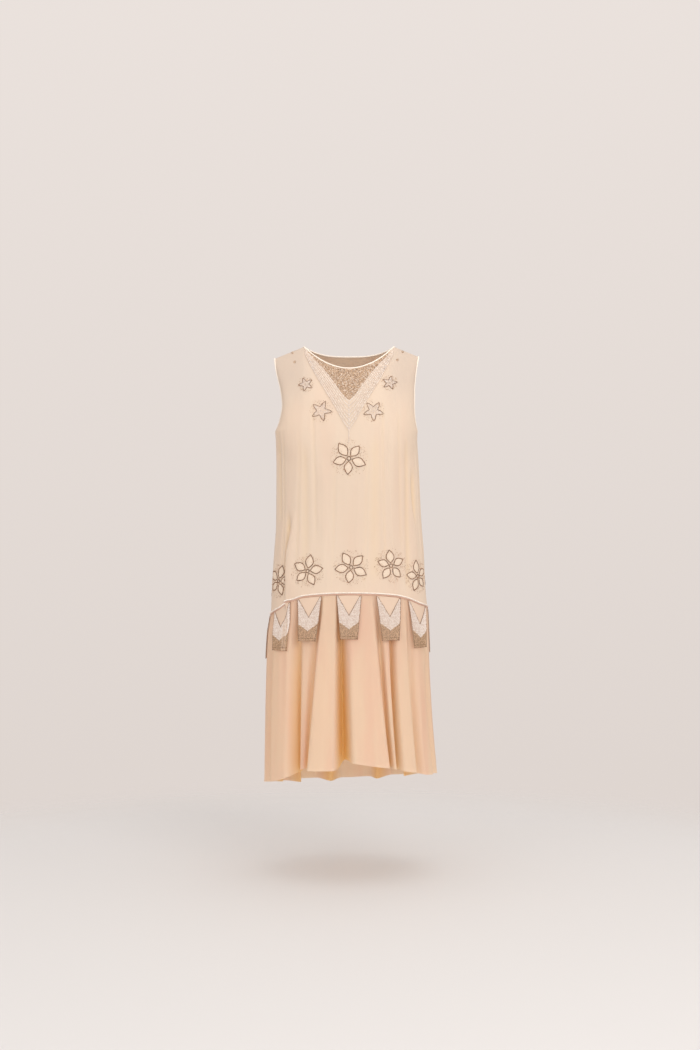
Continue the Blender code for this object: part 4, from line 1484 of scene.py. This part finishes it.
def place_flower(flower, flat, proud):
    """Put flat points round a flower's middle on the cloth."""
    turns, arcs = arcs_at(flower.height)
    around = arcs[-1] - arcs[0]
    start = np.interp(flower.turn, turns, arcs)
    turn = np.interp((start + flat[:, 0] - arcs[0]) % around + arcs[0], arcs, turns)
    above = body_point(flower.turn, flower.height + RATE_STEP)
    below = body_point(flower.turn, flower.height - RATE_STEP)
    rate = float(np.linalg.norm(above - below)) / (2 * RATE_STEP)
    here, outward, _, _ = body_frame(turn, flower.height + flat[:, 1] / rate)
    return here + outward * proud, outward


class DRESS_OT_flowers(bpy.types.Operator):
    """Sew the beaded flowers on the chest and round the hip"""

    bl_idname = "dress.flowers"
    bl_label = "Beaded flowers"

    def execute(self, context):
        for number, flower in enumerate(FLOWERS):
            random = np.random.default_rng(FLOWER_SEED + number)
            self.make_flower(f"flower_{number + 1:02d}", flower, random, context)
        self.make_shoulder_sequins()
        return {"FINISHED"}

    def make_flower(self, name, flower, random, context):
        """Sew one flower: its outline, its filling and the haze of beads round it."""
        sizes = context.scene.dress_sizes
        large = flower.reach > LARGE_REACH
        kind = LARGE_KIND if large else SMALL_KIND
        pitch = sizes.bead_pitch / MM * kind.pitch_share
        line_gap = pitch * LINE_PITCH_SHARE
        fill_gap = pitch * FILL_PITCH_SHARE
        lines = []
        fill = []
        petals = []
        for petal in range(flower.petals):
            way = flower.lean + 360 * petal / flower.petals + random.normal(0, WAY_SCATTER)
            reach = flower.reach * (1 + random.normal(0, REACH_SCATTER))
            petals.append((reach, way))
            if large:
                inner = petal_outline(reach * PETAL_INNER_REACH, way, PETAL_INNER_WIDTH)
                lines.append(spaced(petal_outline(reach, way), line_gap))
                fill.append(spaced(inner, fill_gap))
            else:
                vein = np.array([(0.0, 0.0), (0.0, VEIN_LENGTH)]) * reach
                fill.append(spaced(turned(vein, way - 90), fill_gap))
        angles = np.linspace(0, 2 * math.pi, 121)
        ring = np.stack([np.cos(angles), np.sin(angles)], -1)
        if large:
            self.make_satin(name, flower, petals)
            lines.append(spaced(ring * flower.reach * EYE_RADIUS, pitch))
            fill.append(spaced(ring * flower.reach * EYE_RING_RADIUS, pitch))
        else:
            tips = np.abs(np.sin((angles - math.radians(flower.lean)) * flower.petals / 2))
            star = STAR_WAIST + (1 - STAR_WAIST) * (1 - tips) ** STAR_POWER
            star = ring * (flower.reach * star)[:, None]
            lines.append(spaced(star, line_gap))
            fill.append(spaced(star * STAR_INNER, pitch * STAR_PITCH_SHARE))
        count = sizes.haze_beads // kind.haze_divisor
        spread = flower.reach * np.sqrt(random.uniform(HAZE_NEAREST, HAZE_FURTHEST, count))
        angle = random.uniform(0, 2 * math.pi, count)
        haze = np.stack([spread * np.cos(angle), spread * np.sin(angle)], -1)
        groups = (
            ("outline", "bronze beads", np.concatenate(lines), kind.outline_radius),
            ("fill", kind.inner_finish, np.concatenate(fill), kind.fill_radius),
            ("haze", "gold beads", haze, HAZE_RADIUS),
        )
        for word, finish, spots, radius in groups:
            places = place_flower(flower, spots, FLOWER_BEAD_LIFT)
            sew_beads(f"{name}_{word}", "gold_beads", finish, places, radius)

    def make_satin(self, name, flower, petals):
        """Fill the petals with laid thread, a low dome in each, as one mesh."""
        along, across = np.meshgrid(np.linspace(0, 1, 15), np.linspace(-1, 1, 9), indexing="ij")
        quads = grid_quads(np.arange(along.size).reshape(along.shape))
        vertices = []
        faces = []
        for reach, way in petals:
            flat = petal_points(reach, way, along, across).reshape(-1, 2)
            rise = PETAL_RISE * (1 - across**2) * np.sin(math.pi * along) ** 0.5
            sunk = np.full(along.size, -PETAL_SINK)
            for side, proud in ((1, PETAL_LIFT + rise.ravel()), (-1, sunk)):
                first = len(vertices) * along.size
                points, _ = place_flower(flower, flat, proud[:, None])
                vertices.append(points)
                faces.append((quads if side > 0 else quads[:, ::-1]) + first)
        piece = link_mesh(
            name + "_satin",
            np.concatenate(vertices),
            np.concatenate(faces).tolist(),
            finish_for("petal satin"),
        )
        finish_piece(piece, "gold_beads")

    def make_shoulder_sequins(self):
        """Sew the small dots of sequins near the shoulder seams."""
        spots = []
        for across, height in SEQUIN_SPOTS:
            for angle in np.linspace(0, 2 * math.pi, 7, endpoint=False):
                reach = SEQUIN_REACH if angle else 0.0
                spots.append((across + reach * math.cos(angle), height + reach * math.sin(angle)))
        spots = np.array(spots)
        places = places_on_front(spots[:, 0], spots[:, 1], SEQUIN_LIFT)
        sew_beads("shoulder_sequins", "gold_beads", "gold beads", places, SEQUIN_RADIUS)


class DRESS_OT_stage(bpy.types.Operator):
    """Make the pale floor, the lights and the camera"""

    bl_idname = "dress.stage"
    bl_label = "Floor, lights and camera"

    def execute(self, context):
        scene = context.scene
        deselect_all()
        bpy.ops.mesh.primitive_circle_add(vertices=96, radius=FLOOR_RADIUS, fill_type="NGON")
        floor = context.active_object
        floor.name = "pale_floor"
        bpy.ops.transform.translate(value=(0, FLOOR_MIDDLE, FLOOR_HEIGHT))
        bpy.ops.object.transform_apply(location=True, rotation=False, scale=True)
        material, tree, shader = new_material("pale floor", 0.8)
        shader.inputs["Base Color"].default_value = FLOOR_COLOUR
        place = tree.nodes.new("ShaderNodeTexCoord")
        middle = tree.nodes.new("ShaderNodeVectorMath")
        middle.operation = "DISTANCE"
        middle.inputs[1].default_value = (0, FLOOR_MIDDLE, FLOOR_HEIGHT)
        tree.links.new(place.outputs["Object"], middle.inputs[0])
        inner = FLOOR_RADIUS - FLOOR_FADE
        fade = mapped_range(tree, middle.outputs["Value"], inner, FLOOR_RADIUS, 1.0, 0.0)
        fade.interpolation_type = "SMOOTHSTEP"
        tree.links.new(fade.outputs["Result"], shader.inputs["Alpha"])
        floor.data.materials.append(material)
        world = bpy.data.worlds.new("studio")
        scene.world = world
        world.use_nodes = True
        tree = world.node_tree
        sky = tree.nodes["Background"]
        sky.inputs["Strength"].default_value = SKY_STRENGTH
        toward = tree.nodes.new("ShaderNodeTexCoord")
        parts = tree.nodes.new("ShaderNodeSeparateXYZ")
        tree.links.new(toward.outputs["Generated"], parts.inputs["Vector"])
        rise = mapped_range(tree, parts.outputs["Z"], WALL_START, WALL_END, 0.0, 1.0)
        wall = mixed_colour(tree, rise.outputs["Result"], WALL_LOW, WALL_HIGH)
        tree.links.new(wall, sky.inputs["Color"])
        for lamp in LAMPS:
            light = bpy.data.lights.new(lamp.name, "AREA")
            light.shape = "SQUARE"
            light.size = lamp.size
            light.energy = lamp.power
            light.color = LAMP_COLOUR
            holder = bpy.data.objects.new(lamp.name, light)
            scene.collection.objects.link(holder)
            holder.location = lamp.place
            aim = holder.location.copy()
            aim.z += AIM_DEPTH
            holder.rotation_euler = aim.to_track_quat("Z", "Y").to_euler()
        lens = bpy.data.cameras.new("camera")
        lens.lens = CAMERA_LENS
        lens.sensor_width = CAMERA_SENSOR
        camera = bpy.data.objects.new("camera", lens)
        scene.collection.objects.link(camera)
        camera.location = CAMERA_PLACE
        camera.rotation_euler = (math.radians(90), 0, 0)
        scene.camera = camera
        scene.view_settings.view_transform = "Standard"
        scene.view_settings.look = "None"
        return {"FINISHED"}


class DRESS_PT_panel(bpy.types.Panel):
    """Lists the dress's pieces in the order in which they are made"""

    bl_idname = "DRESS_PT_panel"
    bl_label = "Evening dress"
    bl_space_type = "VIEW_3D"
    bl_region_type = "UI"
    bl_category = "Dress"

    def draw(self, context):
        for operator in OPERATORS:
            self.layout.operator(operator.bl_idname)
        for group in (context.scene.dress_sizes, context.scene.dress_looks):
            for name in group.bl_rna.properties.keys():
                if name not in ("rna_type", "name"):
                    self.layout.prop(group, name)


OPERATORS = (
    DRESS_OT_bodice,
    DRESS_OT_neck,
    DRESS_OT_bindings,
    DRESS_OT_hip_seam,
    DRESS_OT_flounce,
    DRESS_OT_tabs,
    DRESS_OT_flowers,
    DRESS_OT_stage,
)
CLASSES = (DressSizes, DressLooks, *OPERATORS, DRESS_PT_panel)


def register():
    """Add the dress's classes and its settings to Blender."""
    for item in CLASSES:
        bpy.utils.register_class(item)
    bpy.types.Scene.dress_sizes = PointerProperty(type=DressSizes)
    bpy.types.Scene.dress_looks = PointerProperty(type=DressLooks)


def unregister():
    """Take them out again."""
    del bpy.types.Scene.dress_looks
    del bpy.types.Scene.dress_sizes
    for item in reversed(CLASSES):
        bpy.utils.unregister_class(item)


def main():
    """Make every piece."""
    register()
    bpy.ops.dress.bodice()
    bpy.ops.dress.neck()
    bpy.ops.dress.bindings()
    bpy.ops.dress.hip_seam()
    bpy.ops.dress.flounce()
    bpy.ops.dress.tabs()
    bpy.ops.dress.flowers()
    bpy.ops.dress.stage()


if __name__ == "__main__":
    main()
